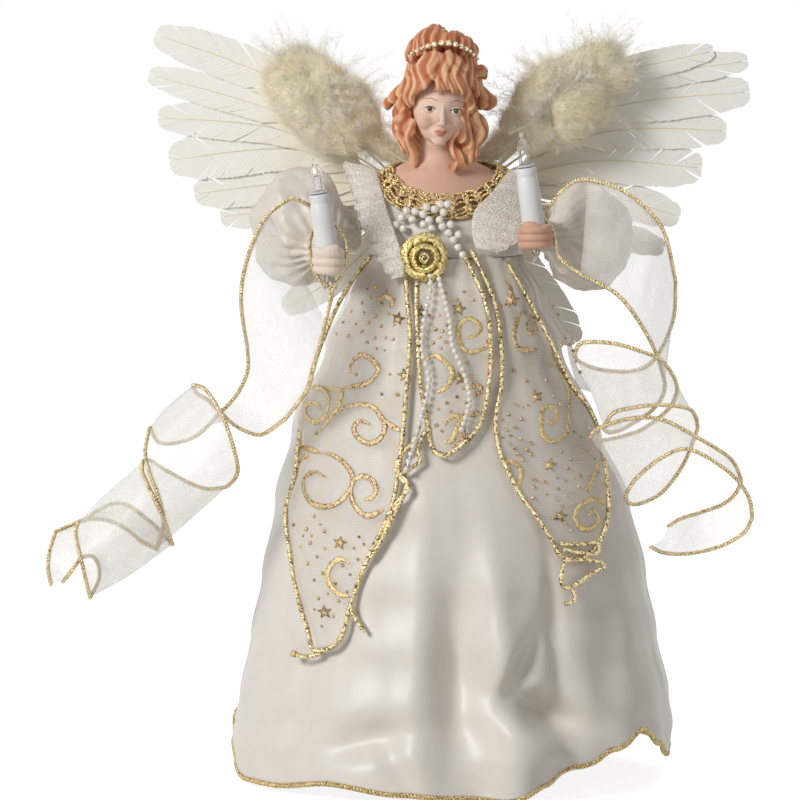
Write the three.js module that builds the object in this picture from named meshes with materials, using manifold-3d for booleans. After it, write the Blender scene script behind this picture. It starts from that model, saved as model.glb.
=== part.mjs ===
// Angel tree topper, in millimetres, +Z up, the front facing -Y.
// The origin is the centre of the cone's open mouth, which goes over the tip of the tree.
// Outlines that were read off the front view are kept as pixel places of an 800 pixel picture,
// and placed() turns each into a point at a named depth.
import * as THREE from "three";
import Module from "manifold-3d";
import { mergeVertices } from "three/addons/utils/BufferGeometryUtils.js";

const wasm = await Module();
wasm.setup();

// Driving dimensions
const FIGURE_HEIGHT = 400;
const GAP = 0.3;

// Shares of the figure's height
const CONE_HEIGHT_SHARE = 0.5125;
const TORSO_HEIGHT_SHARE = 0.2775;
const TORSO_WIDTH_SHARE = 0.09475;
const TORSO_DEPTH_SHARE = 0.06725;
const HEM_RADIUS_SHARE = 0.2875;
const HEM_LIFT_SHARE = 0.125;
const HEAD_DEPTH_SHARE = 0.0625;
const ARM_REACH_SHARE = 0.1375;
const PUFF_HEIGHT_SHARE = 0.08;

const CONE_HEIGHT = FIGURE_HEIGHT * CONE_HEIGHT_SHARE;
const CONE_MOUTH_RADIUS = 48;
const CONE_NECK_RADIUS = 20;
const CONE_WALL = 1.6;
const CONE_RIM_WIDTH = 5;
const CONE_NECK_HOLE_RADIUS = 4;

const TORSO_HEIGHT = FIGURE_HEIGHT * TORSO_HEIGHT_SHARE;
const TORSO_HALF_WIDTH = FIGURE_HEIGHT * TORSO_WIDTH_SHARE;
const TORSO_HALF_DEPTH = FIGURE_HEIGHT * TORSO_DEPTH_SHARE;
const NECKLINE_FRONT_SLOPE = 0.72;
const NECKLINE_BACK_SLOPE = 0.12;

const SKIRT_HEM_RADIUS = FIGURE_HEIGHT * HEM_RADIUS_SHARE;
const SKIRT_HEM_LIFT = FIGURE_HEIGHT * HEM_LIFT_SHARE;
const CLOTH = 1.1;
const HEM_CORD_RADIUS = 1.1;

const HEAD_HALF_DEPTH = FIGURE_HEIGHT * HEAD_DEPTH_SHARE;

const ARM_REACH = FIGURE_HEIGHT * ARM_REACH_SHARE;
const PUFF_HALF_HEIGHT = FIGURE_HEIGHT * PUFF_HEIGHT_SHARE;
const ARM_WIRE_RADIUS = 1.2;
const LEAD_RADIUS = 0.7;
const SOCKET_LENGTH = 40;
const SOCKET_TOP_RADIUS = 5.4;
const SOCKET_BOTTOM_RADIUS = 6.1;
const SOCKET_BORE_RADIUS = 4.1;
const SOCKET_BORE_DEPTH = 16;
const LAMP_GLASS_RADIUS = 3;
const LAMP_GLASS_LENGTH = 22;
const LAMP_GLASS_WALL = 0.5;
const LAMP_BASE_LENGTH = 14;

const SHEER = 0.8;
const EDGE_CORD_RADIUS = 1;
const RIBBON_COIL_RADIUS = 18;
const RIBBON_CORD_RADIUS = 0.9;

const PEARL_RADIUS = 1.5;
const CLUSTER_PEARL_RADIUS = 2.2;
const PEARL_THREAD_RADIUS = 0.5;
const ROSETTE_RADIUS = 12;
const ROSETTE_DEPTH = 7;
const BRAID_RADIUS = 3;

const FEATHER_HALF_WIDTH = 12.2;
const FEATHER_THICKNESS = 0.7;
const FEATHER_LAYER = 1;
const QUILL_RADIUS = 0.9;
const WING_CARD_THICKNESS = 2;
const MARABOU_HALF_LENGTH = 38.2;
const MARABOU_HALF_WIDTH = 24.4;
const MARABOU_HALF_DEPTH = 12;

// Picture places: the column of the body's axis, the row of the base and of the top of the hair
const AXIS_PIXEL = 445;
const BASE_PIXEL = 797;
const HAIR_TOP_PIXEL = 22;
const HEM_FRONT_SHARE = 0.91;
const VIEW_RISE = 0.1045;
const VIEW_DISTANCE_SHARE = 7.5;

const HEM_DROP = SKIRT_HEM_RADIUS * HEM_FRONT_SHARE * VIEW_RISE;
const MM_PER_PIXEL = (FIGURE_HEIGHT + HEM_DROP) / (BASE_PIXEL - HAIR_TOP_PIXEL);
const VIEW_DISTANCE = FIGURE_HEIGHT * VIEW_DISTANCE_SHARE;

// A picture place at a depth along Y becomes a point of the figure
function placed([column, row], depth) {
  const reach = 1 + depth / VIEW_DISTANCE;
  const x = (column - AXIS_PIXEL) * MM_PER_PIXEL * reach;
  const height = (BASE_PIXEL - row) * MM_PER_PIXEL;
  return new THREE.Vector3(x, depth, height - HEM_DROP - VIEW_RISE * depth);
}

const vec = (x, y, z) => new THREE.Vector3(x, y, z);
const mix = (a, b, t) => a + (b - a) * t;
const clamp = (v, low, high) => Math.max(low, Math.min(high, v));

// Value of a table of [place, value] rows at a place between its rows
function tableAt(rows, place) {
  if (place <= rows[0][0]) return rows[0][1];
  for (let i = 1; i < rows.length; i++) {
    if (place <= rows[i][0]) {
      const t = (place - rows[i - 1][0]) / (rows[i][0] - rows[i - 1][0]);
      const eased = t * t * (3 - 2 * t);
      return mix(rows[i - 1][1], rows[i][1], eased);
    }
  }
  return rows[rows.length - 1][1];
}

// One closed body through rings of points; the last ring joins the first where it is closed.
// From the place otherWay of each ring, its faces are split along their other diagonal.
function loft(rings, closed = false, otherWay = Infinity) {
  const count = rings[0].length;
  const positions = rings.flat().flatMap((p) => [p.x, p.y, p.z]);
  const index = [];
  const last = closed ? rings.length : rings.length - 1;
  for (let i = 0; i < last; i++) {
    const a = i * count;
    const b = ((i + 1) % rings.length) * count;
    for (let j = 0; j < count; j++) {
      const k = (j + 1) % count;
      if (j < otherWay) index.push(a + j, a + k, b + k, a + j, b + k, b + j);
      else index.push(a + j, a + k, b + j, a + k, b + k, b + j);
    }
  }
  if (!closed) {
    const end = (rings.length - 1) * count;
    for (let j = 1; j < count - 1; j++) {
      index.push(0, j + 1, j);
      index.push(end, end + j, end + j + 1);
    }
  }
  const geometry = new THREE.BufferGeometry();
  geometry.setAttribute("position", new THREE.Float32BufferAttribute(positions, 3));
  geometry.setIndex(index);
  return facingOut(geometry);
}

// Turns the faces over where they enclose a negative volume
function facingOut(geometry) {
  const p = geometry.attributes.position;
  const index = geometry.index.array;
  let volume = 0;
  const [a, b, c] = [vec(0, 0, 0), vec(0, 0, 0), vec(0, 0, 0)];
  for (let i = 0; i < index.length; i += 3) {
    a.fromBufferAttribute(p, index[i]);
    b.fromBufferAttribute(p, index[i + 1]);
    c.fromBufferAttribute(p, index[i + 2]);
    volume += a.dot(b.cross(c));
  }
  if (volume < 0) {
    for (let i = 0; i < index.length; i += 3) {
      [index[i + 1], index[i + 2]] = [index[i + 2], index[i + 1]];
    }
  }
  return geometry;
}

// Solids for joins and cuts
function solid(geometry) {
  const bare = geometry.clone();
  bare.deleteAttribute("normal");
  bare.deleteAttribute("uv");
  const merged = mergeVertices(bare, GAP / 1000);
  const vertProperties = Float32Array.from(merged.attributes.position.array);
  const triVerts = Uint32Array.from(merged.index.array);
  return new wasm.Manifold(new wasm.Mesh({ numProp: 3, vertProperties, triVerts }));
}

function geometryOf(manifold) {
  const mesh = manifold.getMesh();
  const geometry = new THREE.BufferGeometry();
  geometry.setAttribute("position", new THREE.Float32BufferAttribute(mesh.vertProperties, 3));
  geometry.setIndex(Array.from(mesh.triVerts));
  return geometry;
}

function joined(geometries) {
  const parts = geometries.map(solid);
  return geometryOf(parts.reduce((all, next) => all.add(next)));
}

function cut(geometry, tools) {
  return geometryOf(tools.map(solid).reduce((all, tool) => all.subtract(tool), solid(geometry)));
}

// Ellipsoid with its middle and its three half sizes
function ellipsoid(middle, halves, around = 12, rows = 8) {
  const geometry = new THREE.SphereGeometry(1, around, rows);
  geometry.rotateX(Math.PI / 2);
  geometry.scale(halves.x, halves.y, halves.z);
  geometry.translate(middle.x, middle.y, middle.z);
  return geometry;
}

// Rod of a radius between two points
function rod(from, to, radius, sides = 12) {
  const length = from.distanceTo(to);
  const geometry = new THREE.CylinderGeometry(radius, radius, length, sides);
  const turn = new THREE.Quaternion();
  turn.setFromUnitVectors(vec(0, 1, 0), to.clone().sub(from).normalize());
  geometry.applyQuaternion(turn);
  const middle = from.clone().add(to).divideScalar(2);
  geometry.translate(middle.x, middle.y, middle.z);
  return geometry;
}

// Tube of a radius along a smooth curve through the points
function tube(points, radius, steps, sides = 6) {
  const path = new THREE.CatmullRomCurve3(points, false, "centripetal");
  const middles = Array.from({ length: steps + 1 }, (_, i) => path.getPoint(i / steps));
  let before = vec(0, 0, 1);
  let across = vec(1, 0, 0);
  const rings = middles.map((middle, i) => {
    const from = middles[Math.max(0, i - 1)];
    const to = middles[Math.min(steps, i + 1)];
    const along = to.clone().sub(from).normalize();
    const turn = new THREE.Quaternion().setFromUnitVectors(before, along);
    across = across.clone().applyQuaternion(turn);
    before = along;
    const beside = along.clone().cross(across);
    return Array.from({ length: sides }, (_, k) => {
      const angle = (k / sides) * Math.PI * 2;
      const point = middle.clone().addScaledVector(across, radius * Math.cos(angle));
      return point.addScaledVector(beside, radius * Math.sin(angle));
    });
  });
  return loft(rings);
}

// Rings of a beaded string: each bead has a thin ring, where it meets the next, and a wide one
function beads(points, beadRadius, threadRadius, count, sides = 6, closed = false) {
  const path = new THREE.CatmullRomCurve3(points, closed, "centripetal");
  const ringCount = closed ? count * 2 : count * 2 + 1;
  const frames = path.computeFrenetFrames(count * 2, closed);
  const rings = [];
  for (let i = 0; i < ringCount; i++) {
    const middle = path.getPointAt(Math.min(1, i / (count * 2)));
    const radius = i % 2 === 0 ? threadRadius : beadRadius;
    const ring = [];
    for (let j = 0; j < sides; j++) {
      const turn = (j / sides) * Math.PI * 2;
      const across = frames.normals[i].clone().multiplyScalar(radius * Math.cos(turn));
      const along = frames.binormals[i].clone().multiplyScalar(radius * Math.sin(turn));
      ring.push(middle.clone().add(across).add(along));
    }
    rings.push(ring);
  }
  return loft(rings, closed);
}

// Sheet of a thickness from rows of points, each row running the same way across
function sheet(rows, thickness) {
  const rings = rows.map((row, i) => {
    const before = rows[Math.max(0, i - 1)];
    const after = rows[Math.min(rows.length - 1, i + 1)];
    const front = [];
    const back = [];
    row.forEach((point, j) => {
      const down = after[j].clone().sub(before[j]);
      const left = row[Math.max(0, j - 1)];
      const right = row[Math.min(row.length - 1, j + 1)];
      const normal = right.clone().sub(left).cross(down).normalize();
      normal.multiplyScalar(thickness / 2);
      front.push(point.clone().add(normal));
      back.unshift(point.clone().sub(normal));
    });
    return [...front, ...back];
  });
  return loft(rings, false, rows[0].length);
}

// Points spaced evenly along a line through picture places
function evenly(pixels, count) {
  const flat = pixels.map(([column, row]) => vec(column, row, 0));
  if (flat.length === 2) {
    return Array.from({ length: count }, (_, i) => {
      const p = flat[0].clone().lerp(flat[1], i / (count - 1));
      return [p.x, p.y];
    });
  }
  const path = new THREE.CatmullRomCurve3(flat, false, "centripetal");
  return Array.from({ length: count }, (_, i) => {
    const p = path.getPointAt(i / (count - 1));
    return [p.x, p.y];
  });
}

// Finishes, one for each kind of surface
function finish(color, roughness, metalness = 0) {
  return { color, roughness, metalness };
}

const SATIN = finish(0xe9e5dd, 0.45);
const SHEER_CLOTH = finish(0xf3efe6, 0.5);
const PRINTED_SHEER = finish(0xe2cfae, 0.5);
const GOLD_CORD = finish(0xb08a45, 0.4, 0.8);
const GOLD_RIBBON = finish(0xc2a445, 0.35, 0.7);
const LACE = finish(0xf0ebe2, 0.8);
const PEARL = finish(0xf1ece0, 0.25);
const BISQUE = finish(0xe0b49c, 0.7);
const RHINESTONE = finish(0xd9d4c8, 0.2, 0.6);
const GOOSE = finish(0xede8d5, 0.75);
const MARABOU = finish(0xe6dcc0, 0.95);
const BOARD = finish(0xd8cfbd, 0.9);
const FOAM = finish(0xe6e0d2, 0.9);
const STEEL_WIRE = finish(0x9a9a9a, 0.35, 0.9);
const WHITE_PLASTIC = finish(0xe8e8e6, 0.35);
const CLEAR_GLASS = finish(0xe6e2dc, 0.05);
const WIRE_COVER = finish(0xc9c2b6, 0.6);

const group = new THREE.Group();

function place(name, geometry, look, into = group) {
  const mesh = new THREE.Mesh(geometry, new THREE.MeshStandardMaterial({ ...look }));
  mesh.name = name;
  into.add(mesh);
  return mesh;
}

// Cone over the tip of the tree, open at its mouth, with a rim to stand on
function makeCone() {
  const inner = CONE_MOUTH_RADIUS - CONE_WALL;
  const profile = [
    vec(CONE_MOUTH_RADIUS - CONE_RIM_WIDTH, 0, 0),
    vec(CONE_MOUTH_RADIUS + CONE_WALL, 0, 0),
    vec(CONE_MOUTH_RADIUS + CONE_WALL, CONE_WALL, 0),
    vec(CONE_MOUTH_RADIUS, CONE_WALL * 2, 0),
    vec(CONE_NECK_RADIUS, CONE_HEIGHT, 0),
    vec(CONE_NECK_HOLE_RADIUS, CONE_HEIGHT, 0),
    vec(CONE_NECK_HOLE_RADIUS, CONE_HEIGHT - CONE_WALL, 0),
    vec(CONE_NECK_RADIUS - CONE_WALL, CONE_HEIGHT - CONE_WALL, 0),
    vec(inner, CONE_WALL * 2, 0),
    vec(CONE_MOUTH_RADIUS - CONE_RIM_WIDTH, CONE_WALL, 0),
  ];
  const sides = 22;
  const rings = Array.from({ length: sides }, (_, i) => {
    const turn = (i / sides) * Math.PI * 2;
    return profile.map((p) => vec(p.x * Math.cos(turn), p.x * Math.sin(turn), p.y));
  });
  place("base_cone", loft(rings, true), BOARD);
}

// The neckline dips at the front: its rise over the height at the shoulders
const necklineRise = (y) => y * (y < 0 ? NECKLINE_FRONT_SLOPE : NECKLINE_BACK_SLOPE);

// Oval ring, tilted by a share of the neckline's slope
function oval(halfWidth, halfDepth, height, tilt, sides, shift = 0) {
  return Array.from({ length: sides }, (_, i) => {
    const turn = (i / sides) * Math.PI * 2;
    const [x, y] = [halfWidth * Math.cos(turn), halfDepth * Math.sin(turn)];
    return vec(x + shift, y, height + tilt * necklineRise(y));
  });
}

// Rows of [height share, width share, depth share] of the torso, from the cone to the neckline
const torsoShares = [
  [0.003, 0.6, 0.82],
  [0.3, 0.72, 0.86],
  [0.58, 0.98, 1],
  [0.76, 1, 1],
  [0.97, 0.86, 0.9],
];

function makeTorso() {
  const rings = torsoShares.map(([height, width, depth], i) => {
    const tilt = i === torsoShares.length - 1 ? 1 : 0;
    const z = CONE_HEIGHT + TORSO_HEIGHT * height;
    return oval(TORSO_HALF_WIDTH * width, TORSO_HALF_DEPTH * depth, z, tilt, 20);
  });
  place("torso_core", loft(rings), FOAM);
}

const torsoTop = CONE_HEIGHT + TORSO_HEIGHT;
const BODICE_LIFT = 0.5;
const BODICE_BOTTOM_SHARE = 0.65;
const bodiceBottom = CONE_HEIGHT + TORSO_HEIGHT * BODICE_BOTTOM_SHARE;
const SHOULDER_SHARE = 0.785;
const shoulderHeight = CONE_HEIGHT + TORSO_HEIGHT * SHOULDER_SHARE;
const ARMHOLE_RADIUS = 5;

// Satin bodice: a thin shell round the torso with a hole for each arm wire
function makeBodice() {
  const outer = TORSO_HALF_WIDTH + BODICE_LIFT + CLOTH;
  const deep = TORSO_HALF_DEPTH + BODICE_LIFT + CLOTH;
  const bustShares = [[0, 1.02], [0.35, 1.04], [0.7, 1], [1, 0.9]];
  const rows = 5;
  const shell = [];
  for (const inside of [0, 1]) {
    for (let i = 0; i < rows; i++) {
      const t = inside ? 1 - i / (rows - 1) : i / (rows - 1);
      const swell = tableAt(bustShares, t);
      const z = mix(bodiceBottom, torsoTop, t);
      const thin = inside * CLOTH;
      shell.push(oval(outer * swell - thin, deep * swell - thin, z, t * t, 24));
    }
  }
  const hole = vec(outer * 2, 0, shoulderHeight);
  const armholes = rod(vec(-hole.x, 0, hole.z), hole, ARMHOLE_RADIUS, 10);
  place("bodice", cut(loft(shell, true), [armholes]), SATIN);
}

// Skirt: its half width and depth follow the height, and folds run down it
const skirtTop = bodiceBottom - GAP;
const skirtWidthShares = [
  [0, 1.03],
  [0.07, 1.02],
  [0.15, 0.97],
  [0.27, 0.91],
  [0.38, 0.86],
  [0.53, 0.79],
  [0.66, 0.7],
  [0.83, 0.53],
  [0.92, 0.43],
  [1, 0.35],
];
const skirtDepthShares = [
  [0, 0.95],
  [0.5, 0.9],
  [0.8, 0.82],
  [1, 0.722],
];
// Each fold: its turn from the front, its half turn, how far it stands out, where it fades out
const foldShares = [
  [0.022, 0.016, -0.055, 0.75],
  [0.052, 0.014, 0.035, 0.6],
  [0.088, 0.02, -0.075, 0.42],
  [0.14, 0.03, 0.02, 0.4],
  [0.215, 0.02, -0.02, 0.5],
  [0.33, 0.03, -0.05, 0.6],
  [0.42, 0.03, 0.03, 0.6],
  [0.5, 0.03, -0.05, 0.7],
  [-0.07, 0.03, 0.015, 0.5],
  [-0.13, 0.02, -0.03, 0.45],
  [-0.2, 0.02, 0.02, 0.5],
  [-0.25, 0.014, -0.025, 0.6],
  [-0.35, 0.03, 0.03, 0.6],
  [-0.43, 0.03, -0.05, 0.6],
];

// Turns are shares of a full turn from the front, growing towards +X
function skirtPoint(turn, height, thin = 0) {
  const share = clamp(height / skirtTop, 0, 1);
  const width = SKIRT_HEM_RADIUS * tableAt(skirtWidthShares, share);
  const depth = width * tableAt(skirtDepthShares, share);
  let fold = 0;
  for (const [at, half, out, fade] of foldShares) {
    let off = turn - at;
    off -= Math.round(off);
    const strength = clamp(1 - share / fade, 0, 1);
    fold += out * strength * Math.exp(-((off / half) ** 2));
  }
  const reach = SKIRT_HEM_RADIUS * fold - thin;
  const angle = turn * Math.PI * 2;
  const [x, y] = [(width + reach) * Math.sin(angle), -(depth + reach) * Math.cos(angle)];
  return vec(x, y, height);
}

// Hem: rows of [turn share, height share of the lift]
const hemShares = [
  [-0.5, 0.8],
  [-0.42, 1],
  [-0.32, 0.96],
  [-0.272, 0.64],
  [-0.236, 0.4],
  [-0.185, 0.085],
  [-0.15, 0.09],
  [-0.09, 0.2],
  [-0.036, 0.13],
  [0, 0.09],
  [0.036, 0.065],
  [0.07, 0.2],
  [0.095, 0.36],
  [0.128, 0.5],
  [0.16, 0.66],
  [0.186, 0.46],
  [0.236, 0.24],
  [0.33, 0.32],
  [0.42, 0.5],
  [0.5, 0.8],
];
const hemHeight = (turn) => SKIRT_HEM_LIFT * tableAt(hemShares, turn);

function makeSkirt() {
  const columns = 54;
  const levelShares = [0, 0.07, 0.15, 0.25, 0.38, 0.55, 0.75, 1];
  const shell = [];
  for (const inside of [0, 1]) {
    const levels = inside ? [...levelShares].reverse() : levelShares;
    for (const level of levels) {
      const ring = Array.from({ length: columns }, (_, i) => {
        const turn = i / columns - 0.5;
        const bottom = hemHeight(turn) + HEM_CORD_RADIUS + GAP;
        return skirtPoint(turn, mix(bottom, skirtTop, level), inside * CLOTH);
      });
      shell.push(ring);
    }
  }
  place("skirt", loft(shell, true), SATIN);

  const trim = Array.from({ length: columns }, (_, i) => {
    const turn = i / columns - 0.5;
    const middle = skirtPoint(turn, hemHeight(turn), CLOTH / 2);
    middle.z = hemHeight(turn) - GAP;
    const angle = turn * Math.PI * 2;
    const out = vec(Math.sin(angle), -Math.cos(angle), 0).multiplyScalar(HEM_CORD_RADIUS);
    const up = vec(0, 0, HEM_CORD_RADIUS);
    return [0, 1, 2, 3].map((corner) => {
      const round = (corner * Math.PI) / 2;
      const over = middle.clone().addScaledVector(out, Math.cos(round));
      return over.addScaledVector(up, Math.sin(round));
    });
  });
  place("hem_cord", loft(trim, true), GOLD_CORD);
}

// Turn and height of the place on the skirt's front that a picture place shows
const WIDEST_TURN_SHARE = 0.235;
function skirtPlace(pixel) {
  let depth = -SKIRT_HEM_RADIUS / 2;
  let place = [0, 0];
  for (let i = 0; i < 8; i++) {
    const point = placed(pixel, depth);
    let [low, high] = [-WIDEST_TURN_SHARE, WIDEST_TURN_SHARE];
    for (let k = 0; k < 20; k++) {
      const middle = (low + high) / 2;
      if (skirtPoint(middle, point.z).x < point.x) low = middle;
      else high = middle;
    }
    place = [(low + high) / 2, point.z];
    depth = skirtPoint(...place).y;
  }
  return place;
}

const onSkirt = (pixel, lift) => skirtPoint(...skirtPlace(pixel), -lift);

// Sheer panels: rows of [picture place of one edge, of the other edge], from the top down
const overlayPixels = {
  left: [
    [[375, 262], [408, 270]],
    [[352, 292], [410, 295]],
    [[330, 335], [412, 335]],
    [[316, 385], [409, 380]],
    [[307, 440], [405, 425]],
    [[302, 475], [400, 470]],
    [[293, 512], [392, 508]],
    [[297, 560], [372, 552]],
    [[304, 595], [354, 598]],
    [[313, 628], [346, 628]],
    [[318, 645], [335, 642]],
  ],
  centre: [
    [[418, 268], [470, 268]],
    [[418, 300], [480, 300]],
    [[419, 340], [486, 340]],
    [[421, 380], [485, 385]],
    [[427, 420], [476, 425]],
    [[433, 448], [448, 452]],
  ],
  right: [
    [[480, 262], [512, 275]],
    [[490, 300], [525, 305]],
    [[497, 345], [545, 345]],
    [[497, 385], [562, 382]],
    [[492, 420], [585, 415]],
    [[497, 452], [595, 452]],
    [[515, 490], [602, 495]],
    [[533, 515], [601, 520]],
    [[548, 538], [592, 541]],
    [[556, 552], [575, 556]],
  ],
};
const sideStripPixels = [
  [[528, 290], [545, 300]],
  [[546, 322], [561, 332]],
  [[558, 352], [574, 362]],
  [[568, 388], [580, 392]],
];
const STRIP_LIFT = 5.7;
const overlayLiftShares = { left: 0.612, centre: 0.612, right: 0.509 };
const CORD_GAP = GAP + EDGE_CORD_RADIUS / 4;
const OVERLAY_COLUMNS = 5;

function sheerRows(pixelRows, lift, columns) {
  return pixelRows.map(([from, to]) => {
    const [start, end] = [skirtPlace(from), skirtPlace(to)];
    return Array.from({ length: columns }, (_, i) => {
      const t = i / (columns - 1);
      return skirtPoint(mix(start[0], end[0], t), mix(start[1], end[1], t), -lift);
    });
  });
}

// The panels and the gold cord sewn along their edges
function makeOverlay() {
  for (const side of ["left", "centre", "right"]) {
    const rows = overlayPixels[side];
    const lift = STRIP_LIFT * overlayLiftShares[side];
    const cordLift = lift + SHEER / 2 + EDGE_CORD_RADIUS + CORD_GAP;
    const cloth = sheet(sheerRows(rows, lift, OVERLAY_COLUMNS), SHEER);
    place("overlay_" + side, cloth, PRINTED_SHEER);
    const down = rows.map(([outer]) => outer);
    const up = [...rows].reverse().map(([, inner]) => inner);
    const route = [...down, ...up].map((pixel) => onSkirt(pixel, cordLift));
    const cord = tube(route, EDGE_CORD_RADIUS, rows.length * 4, 4);
    place("overlay_cord_" + side, cord, GOLD_CORD);
  }
  const strip = sheet(sheerRows(sideStripPixels, STRIP_LIFT, 2), SHEER);
  place("overlay_side", strip, SHEER_CLOTH);
}

// Lace collar: rows of [outer picture place, its depth share, the inner place, its depth share]
const collarShares = {
  left: [
    [[345, 163], -0.074, [376, 170], -0.074],
    [[350, 185], -0.372, [382, 192], -0.446],
    [[358, 212], -0.781, [388, 215], -0.892],
    [[368, 238], -1.078, [396, 238], -1.227],
    [[380, 262], -1.264, [403, 260], -1.375],
    [[392, 280], -1.375, [403, 278], -1.413],
  ],
  right: [
    [[530, 168], -0.074, [512, 172], -0.149],
    [[530, 192], -0.446, [508, 198], -0.558],
    [[526, 216], -0.892, [493, 221], -1.004],
    [[514, 240], -1.19, [481, 240], -1.264],
    [[494, 254], -1.338, [478, 252], -1.413],
  ],
};

function makeCollar() {
  for (const side of ["left", "right"]) {
    const rows = collarShares[side].map(([outer, outerDepth, inner, innerDepth]) => {
      const from = placed(outer, outerDepth * TORSO_HALF_DEPTH);
      const to = placed(inner, innerDepth * TORSO_HALF_DEPTH);
      return [0, 1 / 2, 1].map((t) => from.clone().lerp(to, t));
    });
    place("lace_collar_" + side, sheet(rows, SHEER), LACE);
  }
}

// Gimp braid round the neckline, with its scallops
const BRAID_THIN_RADIUS = 2.1;
const BRAID_SCALLOPS = 18;
const BRAID_WIDTH_SHARE = 0.865;
const BRAID_DEPTH_SHARE = 0.905;
function makeBraid() {
  const halfWidth = TORSO_HALF_WIDTH * BRAID_WIDTH_SHARE + BODICE_LIFT;
  const halfDepth = TORSO_HALF_DEPTH * BRAID_DEPTH_SHARE + BODICE_LIFT;
  const height = torsoTop + BRAID_RADIUS + BODICE_LIFT;
  const middle = oval(halfWidth, halfDepth, height, 1, 24);
  const geometry = beads(middle, BRAID_RADIUS, BRAID_THIN_RADIUS, BRAID_SCALLOPS, 6, true);
  place("neck_braid", geometry, GOLD_RIBBON);
}

// Pearls: a cluster under the braid and two strings that hang from the rosette
const clusterPixels = [
  [402, 208], [408, 220], [418, 230], [430, 233], [441, 227], [449, 215],
  [460, 209], [470, 216], [468, 230], [458, 240],
];
const CLUSTER_PEARLS = 15;
const pearlStringPixels = {
  left: [[431, 268], [432, 288], [426, 320], [424, 350], [430, 380], [420, 425], [408, 470]],
  right: [[437, 267], [441, 286], [448, 318], [451, 345], [461, 372], [466, 400], [458, 430]],
};
const PEARLS_PER_STRING = 28;
const STRING_LIFT = 8.1;

function makePearls() {
  const off = CLUSTER_PEARL_RADIUS + CLOTH + GAP;
  const halfWidth = TORSO_HALF_WIDTH + BODICE_LIFT + CLOTH + off;
  const halfDepth = TORSO_HALF_DEPTH + BODICE_LIFT + CLOTH + off;
  const cluster = clusterPixels.map((pixel) => {
    const { x } = placed(pixel, -halfDepth);
    return placed(pixel, -halfDepth * Math.sqrt(1 - (x / halfWidth) ** 2));
  });
  const radii = [CLUSTER_PEARL_RADIUS, PEARL_THREAD_RADIUS];
  place("pearl_cluster", beads(cluster, ...radii, CLUSTER_PEARLS), PEARL);
  for (const side of ["left", "right"]) {
    const route = pearlStringPixels[side].map((pixel) => onSkirt(pixel, STRING_LIFT));
    const string = beads(route, PEARL_RADIUS, PEARL_THREAD_RADIUS, PEARLS_PER_STRING, 5);
    place("pearl_string_" + side, string, PEARL);
  }
}

// Profile of [radius, height] turned about an upright axis; it starts and ends on the axis
function turned(profile, sides) {
  const points = profile.map(([radius, height]) => new THREE.Vector2(radius, height));
  const geometry = new THREE.LatheGeometry(points, sides);
  geometry.rotateX(Math.PI / 2);
  return geometry;
}

// Rolled gold ribbon rosette, facing forward
const rosettePixel = [428, 258];
const rosetteShares = [
  [0, 0], [0.8, 0], [1, 0.3], [0.86, 0.62], [0.72, 0.5], [0.58, 0.9], [0.42, 0.66],
  [0.26, 1], [0.12, 0.72], [0, 0.72],
];
function makeRosette() {
  const profile = rosetteShares.map(([r, d]) => [r * ROSETTE_RADIUS, d * ROSETTE_DEPTH]);
  const geometry = turned(profile, 16);
  geometry.rotateX(Math.PI / 2);
  const [column, row] = rosettePixel;
  const reach = ROSETTE_RADIUS / MM_PER_PIXEL;
  const lift = STRING_LIFT + PEARL_RADIUS;
  const top = onSkirt([column, row - reach], lift);
  const bottom = onSkirt([column, row + reach], lift);
  geometry.rotateX(-Math.atan2(top.y - bottom.y, top.z - bottom.z));
  const middle = top.add(bottom).divideScalar(2);
  geometry.translate(middle.x, middle.y, middle.z);
  place("gold_rosette", facingOut(mergedOnly(geometry)), GOLD_RIBBON);
}

// Same shape with its shared points merged
function mergedOnly(geometry) {
  const bare = geometry.clone();
  bare.deleteAttribute("normal");
  bare.deleteAttribute("uv");
  return mergeVertices(bare, GAP / 1000);
}

// Hair rows: [picture row, left column, right column, middle depth share, half depth share]
const hairShares = [
  [23, 430, 442, 0.16, 0.2],
  [32, 418, 458, 0.16, 0.48],
  [45, 411, 472, 0.16, 0.76],
  [60, 407, 477, 0.16, 0.92],
  [75, 402, 484, 0.16, 1],
  [90, 396, 488, 0.2, 0.96],
  [101, 393, 489, 0.28, 0.84],
  [112, 396, 478, 0.32, 0.76],
  [125, 400, 480, 0.36, 0.68],
  [140, 405, 478, 0.36, 0.56],
  [152, 414, 470, 0.36, 0.4],
];
// Locks: [picture column, row, depth share, half width share, half depth share, half height share]
const lockShares = [
  [392, 103, 0, 0.2, 0.24, 0.24],
  [489, 101, 0, 0.24, 0.24, 0.2],
  [406, 135, -0.28, 0.26, 0.28, 0.52],
  [413, 158, -0.36, 0.16, 0.2, 0.24],
  [470, 138, -0.32, 0.3, 0.28, 0.56],
  [457, 162, -0.48, 0.24, 0.2, 0.24],
  [425, 72, -0.56, 0.4, 0.32, 0.32],
  [452, 74, -0.56, 0.4, 0.32, 0.32],
];
const FACE_DEPTH_SHARE = -0.44;
const facePixel = [438, 116];
const faceShares = [0.568, 0.5, 0.688];
const NECK_SHARE = 0.32;
const PLATE_SIDES = 20;
// Shoulder plate rows: [height share, width share, depth share, tilt]
const plateShares = [
  [0, 0.8, 0.84, 1],
  [0.28, 0.76, 0.78, 0.9],
  [0.5, 0.5, 0.56, 0.6],
  [0.75, 0.25, 0.34, 0.2],
  [1, 0.22, 0.32, 0],
];
const PLATE_HEIGHT_SHARE = 1.04;
const PLATE_BASE_SHARE = 0.97;
const neckPixel = [435, 165];
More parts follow.
